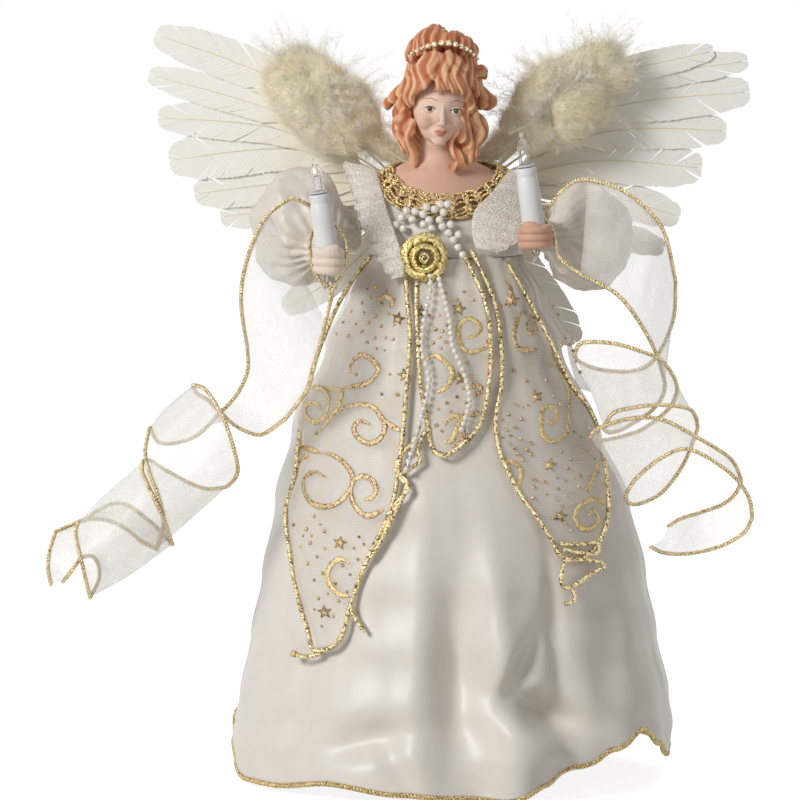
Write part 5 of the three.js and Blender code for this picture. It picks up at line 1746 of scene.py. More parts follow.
@dataclass
class Wings:
    """Two wings of goose feathers on a card, each with a marabou puff."""

    def build(self) -> None:
        """Makes every feather and puff."""
        for side, rows in (("left", LEFT_FEATHERS), ("right", RIGHT_FEATHERS)):
            for i, (root, middle, tip, width) in enumerate(rows):
                GooseFeather(
                    f"feather_{side}_{i + 1}", root, middle, tip, width, i, 40 + i + len(side)
                ).build()
        MarabouPuff("left", (326, 103), 43, 25, -0.115, 7).build()
        MarabouPuff("right", (564, 97), 44, 27, 0.11, 8).build()


@dataclass(frozen=True)
class Side:
    """What differs between the two arms."""

    name: str
    out: int
    body: Body
    fist_pixel: Pixel
    fist_halves: Vector
    puff_pixel: Pixel
    puff_halves: Vector
    seat: float
    reach: float = 55
    wrist_length: float = 14
    pivot: Vector = Vector((37.9, 0, 292.135))
    lean: Vector = Vector((-0.14, 0, 0.99))

    @property
    def fist(self) -> Vector:
        """The fist's middle."""
        return PICTURE.at(*self.fist_pixel, -self.reach)

    @property
    def wrist(self) -> Vector:
        """Where the hand ends."""
        return self.fist + Vector((0, self.wrist_length, 0))

    @property
    def cuff(self) -> Vector:
        """Where the sleeve is gathered."""
        return self.wrist + Vector((0, self.wrist_length / 8, 0))

    @property
    def puff(self) -> Vector:
        """The middle of the puff sleeve."""
        return PICTURE.at(*self.puff_pixel, -self.reach * 0.1818)

    @property
    def shoulder(self) -> Vector:
        """Where the sleeve starts."""
        return Vector((self.out * 46.5, 0, self.pivot.z))

    @property
    def axis(self) -> Vector:
        """The way the candle socket leans."""
        return self.lean.normalized()

    @property
    def foot(self) -> Vector:
        """The foot of the candle socket."""
        return self.fist - self.axis * self.seat


LEFT = Side(
    "left", -1, Body.ARM_LEFT, (328, 263), Vector((7.6, 10, 7)), (300, 228), Vector((26, 24, 32)), 5
)
RIGHT = Side(
    "right", 1, Body.ARM_RIGHT, (534, 239), Vector((8.8, 10, 6.2)), (586, 237),
    Vector((25, 24, 28)), 4,
)


@dataclass
class PuffSleeve:
    """Satin puff sleeve, gathered at the shoulder and tied in at the wrist."""

    side: Side
    cuff_radius: float = 8.6
    shoulder_radius: float = 11.6
    cloth: float = 0.9
    gathers: int = 17
    voxel: float = 1.25
    end_reach: float = 16

    def folds(self, place: Vector) -> float:
        """Finds how far the satin stands out: gathers, then slack creases.

        Args:
            place: the place on the sleeve.

        Returns:
            How far it stands out there.
        """
        side = self.side
        to_cuff, to_shoulder = place - side.cuff, place - side.shoulder
        reach_cuff, reach_shoulder = to_cuff.length, to_shoulder.length
        cuff_axis = (side.puff - side.cuff).normalized()
        a = cuff_axis.orthogonal().normalized()
        b = cuff_axis.cross(a)
        turn = math.atan2(to_cuff.dot(b), to_cuff.dot(a))
        wander = 1.1 * noise.noise(place * 0.05)
        near = math.exp(-reach_cuff / 22) * 1.9
        gather = near * math.sin(turn * self.gathers + wander * 3)
        up = math.atan2(to_shoulder.y, to_shoulder.z)
        gather += math.exp(-reach_shoulder / 20) * 1.4 * math.sin(up * 14 + wander * 4)
        slack = Vector((place.x * 0.03, place.y * 0.05, place.z * 0.055))
        sag = noise.noise(slack + Vector((3, 9, 1)))
        crease = 1 - abs(noise.noise(place * 0.048 + Vector((side.out * 5, 0, 0)))) * 3.2
        fine = 1 - abs(noise.noise(place * 0.12)) * 3
        return gather + sag * 3.4 + clamp(crease, -1, 1) * 1.3 + clamp(fine, -1, 1) * 0.35 - 1.2

    def build(self) -> None:
        """Makes the sleeve."""
        side = self.side
        forms = Shape()
        forms.ball(side.puff, side.puff_halves, 48, 32)
        over = (side.cuff - side.puff).normalized() * 1.0
        forms.tube([side.puff, side.cuff + over], self.cuff_radius, 32)
        inward = (side.shoulder - side.puff).normalized() * 1.0
        forms.tube([side.puff, side.shoulder + inward], self.shoulder_radius, 32)
        skin = moved_out(fused(forms, self.voxel, 10), self.folds)
        self.open_ends(skin)
        skin.piece(
            f"sleeve_{side.name}_satin", SHADED_SLEEVE_SATIN, side.body, "satin", (f"sleeve_{side.name}",)
        )
        thing = bpy.data.objects[f"sleeve_{side.name}_satin"]
        thick(thing, self.cloth)

    def open_ends(self, skin: Shape) -> None:
        """Takes the skin's two end caps away, so that the sleeve is open.

        Args:
            skin: the sleeve's skin.
        """
        side = self.side
        ends = [
            (side.cuff, (side.cuff - side.puff).normalized()),
            (side.shoulder, (side.shoulder - side.puff).normalized()),
        ]
        kept = []
        for face in skin.faces:
            middle = sum((skin.points[i] for i in face), Vector()) / len(face)
            off = [(middle - end, way) for end, way in ends]
            if not any(p.dot(way) > -0.4 and p.length < self.end_reach for p, way in off):
                kept.append(face)
        used = sorted({i for face in kept for i in face})
        renamed = {old: new for new, old in enumerate(used)}
        skin.faces = [tuple(renamed[i] for i in face) for face in kept]
        skin.points = [skin.points[i] for i in used]
        skin.values = [skin.values[i] for i in used]
        skin.uvs = [skin.uvs[i] for i in used]


def thick(thing: Thing, thickness: float) -> None:
    """Gives a single skin a thickness, inwards, and applies it.

    Args:
        thing: the skin.
        thickness: how thick it gets, in millimetres.
    """
    wall = thing.modifiers.new("wall", "SOLIDIFY")
    wall.thickness = thickness * MM
    wall.offset = -1
    made = bpy.data.meshes.new_from_object(thing.evaluated_get(bpy.context.evaluated_depsgraph_get()))
    thing.modifiers.clear()
    old = thing.data
    thing.data = made
    bpy.data.meshes.remove(old)


@dataclass
class Hand:
    """Bisque fist round the socket: a palm, three curled fingers, a thumb and a wrist."""

    side: Side
    voxel: float = 0.38

    def build(self) -> None:
        """Makes the fist."""
        side = self.side
        fist, halves = side.fist, side.fist_halves
        forms = Shape()
        palm = Vector((halves.x * 0.92, halves.y * 0.85, halves.z * 0.95))
        forms.ball(fist + Vector((0, 1.5, 0)), palm, 32, 20)
        lift = halves.z * 0.62
        for step in (-1, 0, 1):
            rows = []
            for k in range(13):
                a = math.radians(mix(-112, 112, k / 12))
                rows.append(fist + Vector((
                    math.sin(a) * halves.x * (0.82 - 0.05 * abs(step)),
                    -math.cos(a) * halves.y * 0.62 - 1.0,
                    step * lift + 0.4 * side.out * math.sin(a),
                )))
            forms.tube(rows, halves.z * 0.4, 12)
        thumb = [
            fist + Vector((-side.out * halves.x * 0.7, -halves.y * 0.1, halves.z * 0.55)),
            fist + Vector((-side.out * halves.x * 0.5, -halves.y * 0.62, halves.z * 0.95)),
            fist + Vector((side.out * halves.x * 0.2, -halves.y * 0.74, halves.z * 0.92)),
        ]
        forms.tube(spline(thumb, 8), [2.0, 2.3, 2.4, 2.4, 2.3, 2.2, 2.0, 1.6], 12)
        forms.tube([fist, side.wrist + Vector((0, 1, 0))], 4.7, 24)
        skin = fused(forms, self.voxel, 4)
        grip = 6.55
        for i, p in enumerate(skin.points):
            off = p - fist
            run = off.dot(side.axis)
            flat = off - side.axis * run
            if flat.length < grip:
                flat = flat.normalized() * grip if flat.length > 0.01 else Vector((grip, 0, 0))
                skin.points[i] = fist + side.axis * run + flat
            # Painted shade between the fingers at the front: the tone rises there towards the darker
            # second colour.
            near = clamp(1 - abs(abs(off.z) - lift / 2) / 0.9) * smooth(-1, -6, off.y)
            skin.values[i] = 0.1 + 0.6 * near + 0.2 * noise.noise(p * 0.2)
        # Lit copy for the left fist, shaded copy for the right: painted light and shade.
        finish = SHADED_FIST_SKIN if side.out > 0 else LIT_PALE_FIST
        skin.piece(f"fist_{side.name}_bisque", finish, side.body, "bisque", (f"fist_{side.name}",))


@dataclass
class CandleLamp:
    """Candle socket with its push-in mini lamp, and the pair of leads under it."""

    side: Side

    def ring(self, height: float, radius: float, count: int = 40) -> Points:
        """Makes a ring round the socket's axis.

        Args:
            height: how far it is above the socket's foot.
            radius: its radius.
            count: how many points it has.

        Returns:
            The ring's points.
        """
        side = self.side
        tilt = Vector((0, 0, 1)).rotation_difference(side.axis)
        return [
            side.foot + tilt @ Vector((radius * math.cos(a), radius * math.sin(a), height))
            for a in angles(count)
        ]

    def build(self) -> None:
        """Makes the socket's moulded sleeve with its rim, and the leads."""
        side = self.side
        outer = [
            (0.0, 5.6), (0.5, 6.05), (1.4, 6.1), (12, 5.9), (24, 5.68), (34.6, 5.5), (35.0, 5.3),
            (35.6, 5.28), (36.0, 5.45), (39.3, 5.42), (39.9, 5.2), (40.0, 4.9), (40.0, 4.15),
            (24.0, 4.1), (24.0, 0.02), (18.6, 0.02), (18.6, 1.6), (0.0, 1.6),
        ]
        Shape().grid([self.ring(h, r) for h, r in outer], True, True).piece(
            f"candle_socket_{side.name}", SOCKET_PLASTIC, side.body, "white_plastic",
            (f"lamp_socket_{side.name}",),
        )
        lamp = Body.LAMP_LEFT if side.out < 0 else Body.LAMP_RIGHT
        base = [
            (26.3, 0.02), (26.3, 3.4), (26.8, 3.78), (40.35, 3.78), (40.4, 4.7), (40.7, 5.02),
            (41.2, 5.0), (41.5, 4.6), (41.5, 3.3), (36.6, 3.3), (36.6, 0.02),
        ]
        Shape().grid([self.ring(h, r, 32) for h, r in base], True, True).piece(
            f"lamp_base_{side.name}_moulded", BASE_PLASTIC, lamp, "white_plastic",
            (f"lamp_base_{side.name}",),
        )
        self.leads()

    def leads(self) -> None:
        """Makes the lead that loops under the fist and back into the cuff."""
        side = self.side
        foot, down = side.foot, Vector((0, 0, -1))
        axis = (side.puff - side.cuff).normalized()
        drop = (down + axis * axis.z).normalized() * 6.1
        ends = [
            side.cuff + drop, side.cuff.lerp(side.puff, 1 / 3) + drop,
            side.puff.lerp(side.shoulder, 0.5) + drop, side.shoulder + drop * 0.34,
            Vector((side.out * 38.6, 0, side.pivot.z)) + drop * 0.34,
        ]
        pair = Shape()
        for step in (-1, 1):
            apart = Vector((step * 1.0, 0, 0))
            route = [
                foot + side.axis * 7 + apart * 0.5, foot - side.axis * 3.5 + apart,
                foot + Vector((-side.out * 2.0 * step, 3.5, -9.5)) + apart,
                side.wrist + drop + Vector((0, -7, -2.3)) + apart,
            ] + [p + apart * 0.9 for p in ends]
            pair.tube(spline(route, 120), 0.65, 8)
        pair.piece(
            f"lamp_leads_{side.name}", LEAD_COVER, side.body, "wire_cover",
            (f"lamp_lead_{side.name}",),
        )


LEFT_COIL: list[tuple[list[Pixel], list[Pixel]]] = [
    (
        [(303, 206), (290, 203), (265, 222), (247, 260), (240, 300), (246, 345)],
        [(331, 292), (328, 310), (323, 330), (317, 352), (308, 385), (297, 403), (285, 418)],
    ),
    (
        [(246, 345), (247, 370), (237, 393), (221, 411), (193, 437), (160, 443), (149, 427)],
        [(285, 418), (262, 434), (245, 431), (230, 422), (208, 401), (196, 393), (192, 385)],
    ),
    (
        [(149, 427), (144, 450), (148, 471), (156, 493), (162, 520), (155, 547)],
        [(192, 385), (206, 391), (224, 422), (236, 462), (234, 477), (225, 486)],
    ),
    (
        [(155, 547), (141, 541), (126, 529), (110, 521), (92, 518), (77, 521)],
        [(225, 486), (208, 488), (190, 483), (162, 468), (150, 460), (142, 460)],
    ),
    (
        [(77, 521), (74, 532), (79, 557), (83, 575), (88, 596)],
        [(142, 460), (141, 470), (148, 486), (163, 520), (171, 543)],
    ),
    (
        [(88, 596), (97, 580), (97, 565), (92, 556), (86, 554)],
        [(171, 543), (147, 519), (116, 502), (79, 520), (54, 530)],
    ),
    ([(86, 554), (78, 557), (69, 569), (61, 580)], [(54, 530), (47, 550), (46, 567), (49, 583)]),
]
RIGHT_COIL: list[tuple[list[Pixel], list[Pixel]]] = [
    (
        [(551, 206), (558, 196), (580, 184), (616, 193), (641, 210), (662, 235), (674, 283)],
        [(554, 244), (559, 261), (580, 277), (616, 297), (640, 327), (656, 357), (664, 384)],
    ),
    (
        [(674, 283), (672, 321), (655, 358), (633, 371), (600, 370), (580, 363), (574, 357)],
        [(664, 384), (662, 396), (652, 410), (636, 421), (620, 430), (608, 432), (603, 428)],
    ),
    (
        [(574, 357), (580, 344), (610, 344), (636, 351), (660, 361), (674, 380), (676, 392)],
        [(603, 428), (612, 413), (630, 408), (655, 405), (686, 408), (695, 417), (697, 428)],
    ),
    (
        [(676, 392), (670, 406), (655, 420), (640, 430), (622, 436), (600, 440), (589, 437)],
        [(697, 428), (693, 440), (682, 466), (662, 492), (640, 503), (628, 502), (625, 495)],
    ),
    (
        [(589, 437), (597, 428), (630, 418), (660, 419), (695, 436), (730, 458), (741, 480)],
        [(625, 495), (636, 477), (664, 455), (690, 449), (728, 471), (748, 495), (752, 516)],
    ),
    (
        [(741, 480), (735, 493), (722, 504), (700, 512), (680, 518), (668, 525)],
        [(752, 516), (744, 532), (720, 546), (690, 553), (665, 552), (650, 545)],
    ),
]


@dataclass
class Ribbon:
    """Sheer ribbon with a wired cord along both edges, coiled and tied round the wrist."""

    side: Side
    depth: float
    stages: list[tuple[list[Pixel], list[Pixel]]]
    knots: list[list[tuple[Pixel, float]]]
    flat: tuple[float, float]
    swing: float = 18
    cord: float = 1.25
    cloth: float = 0.22
    stations: int = 26
    columns: int = 15
    first_row: int = 6

    def edges(self) -> tuple[Points, Points]:
        """Finds both edges; each stage swings to the front or the back by half a coil.

        Returns:
            The upper and the lower edge.
        """
        both: tuple[Points, Points] = ([], [])
        for i, stage in enumerate(self.stages):
            swing = (-1 if i % 2 == 0 else 1) * self.swing
            for line, pixels in zip(both, stage):
                flat = spline([Vector((*pixel, 0)) for pixel in pixels], self.stations + 1)
                for k, spot in enumerate(flat):
                    if k or not i:
                        bulge = math.sin(k / self.stations * math.pi)
                        line.append(PICTURE.at(spot.x, spot.y, swing * bulge - self.depth))
        return both

    def build(self) -> None:
        """Makes the cloth and the cords of its edges and knot."""
        name, body = self.side.name, self.side.body
        upper, lower = self.edges()
        rows, places = [], []
        along = 0.0
        for i, (a, b) in enumerate(zip(upper, lower)):
            along += (a - upper[i - 1]).length if i else 0
            if i < self.first_row:
                continue
            row, spots = [], []
            across = b - a
            way = (upper[min(i + 1, len(upper) - 1)] - upper[i - 1]).cross(across).normalized()
            for j in range(self.columns):
                t = j / (self.columns - 1)
                cup = math.sin(t * math.pi) * (2.2 * noise.noise(Vector((along * 0.03, 2, 7))) + 1.2)
                ripple = 0.5 * math.sin(along * 0.42 + 3 * t) * math.sin(t * math.pi)
                row.append(a.lerp(b, 0.02 + 0.96 * t) + way * (cup + ripple))
                spots.append((across.length * t, along))
            rows.append(row)
            places.append(spots)
        cloth = Shape().sheet(rows, self.cloth, uvs=places).piece(
            f"ribbon_{name}_organza", RIBBON_ORGANZA, body, "sheer_ribbon", (f"ribbon_{name}",)
        )
        cords = Shape()
        lines = [[PICTURE.at(*pixel, -depth) for pixel, depth in knot] for knot in self.knots]
        cords.rope([*reversed(upper), *lines[0], *lower], self.cord, 3.4, steps=6)
        for line in lines[1:]:
            cords.rope([*line, lower[0], lower[3]], self.cord, 3.4, steps=6)
        trim = cords.piece(
            f"ribbon_{name}_wired_cord", WIRED_CORD, body, "gold_cord", (f"ribbon_cord_{name}",)
        )


LEFT_KNOTS: list[list[tuple[Pixel, float]]] = [
    [((311, 209), 49), ((324, 214), 45), ((343, 240), 48), ((346, 258), 54), ((342, 276), 57)],
    [((324, 214), 45), ((311, 237), 48), ((310, 259), 54), ((317, 280), 57)],
]
RIGHT_KNOTS: list[list[tuple[Pixel, float]]] = [[((541, 217), 48.9), ((551, 231), 50.5)]]
PANELS = [
    Panel(
        "left", LEFT_EDGES, LEFT_DARK, LEFT_PALE, LEFT_DOTS, LEFT_STARS, 3.49, (0.053, 0.205),
        0.0085, ("overlay_left", "overlay_cord_left"), 1,
    ),
    Panel(
        "centre", CENTRE_EDGES, CENTRE_DARK, CENTRE_PALE, CENTRE_DOTS, CENTRE_STARS, 3.49,
        (0.035, 0.098), 0.003, ("overlay_centre", "overlay_cord_centre"), 2,
    ),
    Panel(
        "right", RIGHT_EDGES, RIGHT_DARK, RIGHT_PALE, RIGHT_DOTS, RIGHT_STARS, 2.9,
        (0.045, 0.155), 0.0062, ("overlay_right", "overlay_cord_right"), 3,
    ),
    Panel(
        "side", SIDE_EDGES, [], [], SIDE_DOTS, [], 5.7, (0.0101, 0.058), 0.0005, ("overlay_side",), 4,
        SIDE_ORGANZA, "sheer_ribbon",
    ),
]
LOCKS: list[tuple[float, list[Spot]]] = [
    (2.3, [(432, 54, -21), (421, 66, -21), (411, 76, -17), (404, 88, -12), (399, 98, -7)]),
    (2.3, [(437, 54, -22), (428, 68, -23), (417, 79, -21), (409, 90, -17), (406, 103, -12),
           (405, 114, -9)]),
    (2.1, [(441, 55, -22), (434, 70, -24), (424, 80, -24), (415, 90, -22), (411, 100, -18),
           (411, 108, -14)]),
    (1.8, [(436, 75, -24), (428, 84, -25), (420, 91, -24), (414, 97, -21)]),
    (2.3, [(447, 54, -22), (455, 62, -21), (464, 72, -18), (472, 84, -13), (477, 96, -8)]),
    (2.2, [(445, 54, -22), (450, 66, -23), (460, 78, -21), (467, 90, -17), (470, 103, -13)]),
    (2.0, [(443, 56, -23), (444, 70, -24.5), (449, 80, -25), (453, 90, -25), (455, 97, -24.5)]),
    (1.8, [(442, 70, -24.5), (440, 80, -25), (437, 89, -25.5), (434, 95, -25)]),
    (1.7, [(446, 76, -25), (444, 86, -26), (446, 94, -25.5)]),
    (1.9, [(452, 74, -24.5), (459, 84, -24), (463, 93, -23), (464, 99, -21)]),
    (3.0, [(404, 86, -10), (397, 95, -6), (391, 101, -4), (388, 104, -3), (391, 108, -3)]),
    (2.4, [(404, 98, -12), (398, 108, -10), (396, 116, -10), (400, 123, -11), (405, 118, -13),
           (402, 112, -14)]),
    (2.6, [(408, 112, -12), (406, 124, -12), (401, 133, -10), (403, 142, -9), (410, 148, -10),
           (412, 157, -10), (414, 166, -9)]),
    (2.2, [(412, 120, -13), (412, 131, -13), (408, 140, -13), (411, 150, -12), (416, 158, -11)]),
    (3.0, [(399, 116, -6), (397, 125, -5), (399, 134, -5), (404, 144, -5), (408, 153, -6)]),
    (3.0, [(478, 68, -6), (482, 74, -4), (481, 79, -4)]),
    (2.8, [(474, 84, -8), (481, 92, -5), (488, 99, -3), (492, 101, -2), (486, 106, -4), (478, 106, -6)]),
    (3.0, [(466, 98, -14), (470, 108, -14), (474, 117, -11), (481, 124, -8), (482, 134, -7),
           (477, 142, -7), (470, 146, -8)]),
    (2.8, [(462, 108, -16), (463, 118, -16), (459, 128, -15), (460, 137, -14), (467, 143, -12),
           (472, 150, -11), (471, 158, -11), (466, 165, -11)]),
    (2.4, [(458, 122, -16), (453, 133, -15), (450, 143, -14), (453, 152, -15), (459, 158, -15),
           (459, 166, -15), (453, 169, -16), (449, 166, -17)]),
    (3.0, [(468, 118, -11), (465, 130, -11), (468, 141, -9), (474, 150, -7), (472, 160, -7)]),
    (4.5, [(414, 62, -8), (413, 53.8182, -9), (419, 46, -9), (427, 38, -6), (434, 34, -2)]),
    (4.6, [(422, 57.2273, -15), (422, 48.3636, -15), (428, 39, -12), (436, 34, -7), (444, 39, -5)]),
    (4.2, [(434, 53.8182, -18), (435, 45, -15), (437, 37, -10), (439, 34, -4)]),
    (4.4, [(446, 51.0909, -18), (449, 43, -15), (455, 41, -9), (461, 44, -4)]),
    (4.4, [(458, 53.1364, -15), (462, 47.6818, -12), (465, 46, -7), (467, 49.7273, -3)]),
    (4.2, [(469, 57.9091, -9), (470, 52.4545, -7), (468, 49.0455, -3)]),
    (3.0, [(472, 118, -7), (477, 129, -6), (475, 140, -6), (469, 148, -7)]),
    (2.6, [(461, 142, -10), (465, 152, -9), (468, 161, -9)]),
]
HAIR_ROWS = [
    (32, 431, 441, 4, 4), (38, 420, 457, 4, 11), (48, 413, 470, 4, 18), (60, 408, 476, 4, 21.5),
    (75, 404, 481, 4, 23.5), (90, 400, 484, 5, 23), (101, 400, 482, 7, 20), (112, 402, 476, 8, 18.5),
    (125, 405, 476, 9, 16.5), (140, 409, 474, 9, 13.5), (152, 416, 467, 9, 9),
]
Coat = tuple[str, Finish, list[Pixel], list[Pixel], float]
# Each coat: its name, finish, lower and upper line on the face, and lift off the skin
EYE_COATS: list[Coat] = [
    ("eye_{}_white", WHITE_OF_EYE, [(-2.7, 0.0), (-1.2, -0.85), (1.2, -0.85), (2.7, 0.0)],
     [(-2.7, 0.1), (-1.3, 1.15), (1.3, 1.15), (2.7, 0.1)], 0.03),
    ("eye_{}_iris", IRIS, [(-1.2, 0.25), (-0.8, -0.6), (0, -0.85), (0.8, -0.6), (1.2, 0.25)],
     [(-1.2, 0.35), (-0.8, 1.1), (0, 1.25), (0.8, 1.1), (1.2, 0.35)], 0.1),
    ("eye_{}_pupil", LINE_PAINT, [(-0.6, 0.2), (0, -0.35), (0.6, 0.2)],
     [(-0.6, 0.3), (0, 0.85), (0.6, 0.3)], 0.16),
    ("eye_{}_glint", WHITE_OF_EYE, [(-0.55, 0.62), (-0.3, 0.45), (-0.05, 0.62)],
     [(-0.55, 0.66), (-0.3, 0.86), (-0.05, 0.66)], 0.22),
    ("eye_{}_lash", LINE_PAINT, [(-3.0, 0.0), (-1.4, 1.05), (1.4, 1.1), (3.0, 0.1)],
     [(-3.1, 0.05), (-1.4, 1.45), (1.4, 1.5), (3.1, 0.15)], 0.14),
    ("brow_{}", BROW_PAINT, [(-3.6, 4.3), (0, 5.3), (3.6, 4.3)],
     [(-3.7, 4.4), (0, 5.75), (3.7, 4.4)], 0.04),
]
LIP_COATS: list[Coat] = [
    ("lip_upper", LIP_PAINT,
     [(-3.3, -10.5), (-1.4, -10.75), (0, -10.9), (1.4, -10.75), (3.3, -10.5)],
     [(-3.4, -10.4), (-1.5, -9.45), (0, -9.85), (1.5, -9.45), (3.4, -10.4)], 0.05),
    ("lip_lower", LIP_PAINT,
     [(-3.0, -10.75), (-1.6, -12.1), (0, -12.55), (1.6, -12.1), (3.0, -10.75)],
     [(-3.1, -10.6), (-1.4, -10.85), (0, -11.0), (1.4, -10.85), (3.1, -10.6)], 0.05),
]


@dataclass
class Head:
    """Painted bisque shoulder-head: skin and hair are one casting in two colours."""

    eyes: Pixel = (439.4, 112.6)
    scale: float = 1.07
    front: float = 23
    axis_depth: float = -9.5
    roll: float = 5.5
    yaw: float = 7
    neck: Pixel = (435, 165)
    plate_base: float = 313.27
    plate_height: float = 26
    torso: tuple[float, float] = (37.9, 26.9)
    eye_off: float = 6.5

    def face(self, u: float, v: float, w: float) -> Vector:
        """Finds a place on the turned head.

        Args:
            u: how far across it is from the middle of the eyes.
            v: how far up.
            w: how far forward of the head's axis.

        Returns:
            The place.
        """
        middle = PICTURE.at(*self.eyes, -self.front)
        middle.y = self.axis_depth
        return middle + self.tilt() @ (Vector((u, -w, v)) * self.scale)

    def tilt(self) -> Quaternion:
        """Returns how the face is turned."""
        roll = Quaternion((0, 1, 0), math.radians(self.roll))
        return roll @ Quaternion((0, 0, 1), math.radians(self.yaw))

    def knob(self, shape: Shape, u: float, v: float, w: float, halves: Spot, fine: int = 24) -> None:
        """Adds a ball by its place on the face.

        Args:
            shape: the form that gets it.
            u: how far across it is from the middle of the eyes.
            v: how far up.
            w: how far forward of the head's axis.
            halves: its half sizes across, forward and up.
            fine: how many points it has round.
        """
        shape.ball(self.face(u, v, w), Vector(halves) * self.scale, fine, fine * 2 // 3, self.tilt())

    def skin(self) -> Shape:
        """Makes the face, neck and shoulder plate in one skin.

        Returns:
            The skin.
        """
        base = Shape()
        self.knob(base, 0, 1.5, 0.5, (13.4, 12.9, 16.5), 48)
        self.knob(base, 0, -8.5, 2.0, (9.4, 9.5, 8.4), 32)
        self.knob(base, 0, -15.0, 8.2, (3.7, 3.3, 2.9))
        self.knob(base, 0, -10.6, 8.3, (5.4, 4.2, 4.4))
        for side in (-1, 1):
            self.knob(base, side * 6.8, -5.4, 7.0, (5.0, 4.9, 4.8))
        middle = PICTURE.at(*self.neck, 0)
        rings = []
        for height, width, depth, tilt in (
            (0, 0.8, 0.84, 1), (0.14, 0.79, 0.82, 0.98), (0.28, 0.74, 0.76, 0.9),
            (0.4, 0.6, 0.66, 0.78), (0.5, 0.44, 0.54, 0.6), (0.62, 0.31, 0.42, 0.36),
            (0.75, 0.235, 0.34, 0.2), (1, 0.21, 0.31, 0),
        ):
            ring = []
            for a in angles(64):
                x, y = math.cos(a) * self.torso[0] * width, math.sin(a) * self.torso[1] * depth
                lean = tilt * y * (0.72 if y < 0 else 0.12)
                z = self.plate_base + self.plate_height * height + lean
                ring.append(Vector((x + middle.x * height, y, z)))
            rings.append(ring)
        base.closed(rings)
        throat = Vector((middle.x, 0.5, self.plate_base + 14))
        nape = throat.lerp(self.face(0, -8, -1), 0.5) + Vector((0, 1, 0))
        base.tube([throat, nape, self.face(0, -4, -3)], 7.5, 32)
        first = moved_out(fused(base, 0.7, 12), self.hollows)
        self.features(first)
        return fused(first, 0.36, 2)

    def hollows(self, place: Vector) -> float:
        """Finds how the skin is moved: in at the eyes, temples and chin, out at the collarbone.

        Args:
            place: the place on the skin.

        Returns:
            How far it moves out, or in if it is less than 0.
        """
        off = self.tilt().inverted() @ (place - self.face(0, 0, 0))
        u, v, w = off.x, off.z, -off.y
        if w < 0 or v < -24:
            x = abs(place.x - PICTURE.at(*self.neck, 0).x)
            bone = math.exp(-(((place.z - 322.5 + x * 0.1) / 2.0) ** 2))
            bone = bone * smooth(3, 7, x) * smooth(24, 14, x)
            return 0.5 * bone if place.y < 0 else 0.0
        sink = -1.5 * math.exp(-(((abs(u) - self.eye_off) / 3.9) ** 2) - ((v - 0.4) / 3.1) ** 2)
        sink -= 0.5 * math.exp(-(((abs(u) - 12) / 3) ** 2) - ((v - 1) / 5) ** 2)
        sink -= 0.45 * math.exp(-((u / 3.4) ** 2) - ((v + 13.2) / 1.1) ** 2)
        return sink

    def features(self, shape: Shape) -> None:
        """Adds the nose, lips, eyes and lids.

        Args:
            shape: the form that gets them.
        """
        nose = [self.face(0, *p) for p in ((2.4, 12.5), (-1.0, 13.3), (-4.0, 14.5), (-5.9, 15.4))]
        shape.tube(spline(nose, 10), [1.0, 1.0, 1.05, 1.1, 1.2, 1.3, 1.4, 1.5, 1.55, 1.4], 16)
        self.knob(shape, 0, -6.0, 15.4, (1.7, 1.6, 1.45), 18)
        for side in (-1, 1):
            self.knob(shape, side * 1.75, -6.6, 14.1, (1.15, 1.3, 1.05), 14)
            self.knob(shape, side * self.eye_off, 0.0, 9.1, (2.95, 2.95, 2.8), 24)
            lid = []
            for k in range(11):
                a = math.radians(mix(4, 176, k / 10))
                u = side * self.eye_off + 3.0 * math.cos(a)
                lid.append(self.face(u, 0.1 + 1.35 * math.sin(a), 11.1 + 0.95 * math.sin(a)))
            shape.tube(lid, [0.2 + 0.28 * math.sin(k / 10 * math.pi) for k in range(11)], 10)
        upper = [
            (-3.5, -10.5, 11.2), (-1.4, -9.9, 12.5), (0, -10.25, 12.6), (1.4, -9.9, 12.5),
            (3.5, -10.5, 11.2),
        ]
        lower = [(-2.9, -10.95, 11.3), (0, -11.75, 12.5), (2.9, -10.95, 11.3)]
        for lip, full in ((upper, 0.5), (lower, 0.7)):
            radii = [0.25 + full * math.sin(k / 12 * math.pi) for k in range(13)]
            shape.tube(spline([self.face(*p) for p in lip], 13), radii, 12)

    def hair(self) -> Shape:
        """Makes the moulded hair: a cap, a piled-up crown and wavy locks.

        Returns:
            The hair's skin.
        """
        forms = Shape()
        rings = []
        for row, left, right, depth, half in HAIR_ROWS:
            middle = PICTURE.at((left + right) / 2, row, depth)
            wide = (right - left) / 2 * PICTURE.unit
            rings.append([
                Vector((middle.x + wide * math.cos(a), depth + half * math.sin(a), middle.z))
                for a in angles(48)
            ])
        forms.closed(rings)
        fullness = [mix(0.75, 1.1, math.sin(clamp(k / 25) * math.pi) ** 0.5) for k in range(26)]
        for radius, spots in LOCKS:
            line = spline([PICTURE.at(*spot) for spot in spots], 26)
            forms.tube(line, [radius * full for full in fullness], 14)
        return moved_out(fused(forms, 0.55, 3), self.strands)

    @staticmethod
    def strands(place: Vector) -> float:
        """Finds the moulded strands' relief, about two millimetres apart.

        Args:
            place: the place on the hair.

        Returns:
            How far it stands out there.
        """
        off = place - PICTURE.at(443, 70, 4)
        turn = math.atan2(off.x, -off.y)
        wave = 0.9 * math.sin(place.z * 0.34 + turn * 2) + 1.5 * noise.noise(place * 0.07)
        line = math.sin(turn * 30 + wave * 2.2)
        fine = math.sin(turn * 67 + wave * 5 + 1)
        return 0.34 * line + 0.12 * fine - 0.2

    def paint(self, skin: Shape) -> None:
        """Paints the eyes, brows and lips as thin coats that follow the skin.

        Args:
            skin: the face's skin.
        """
        tree = BVHTree.FromPolygons(skin.points, [list(face) for face in skin.faces])
        ahead = self.tilt() @ Vector((0, -1, 0))

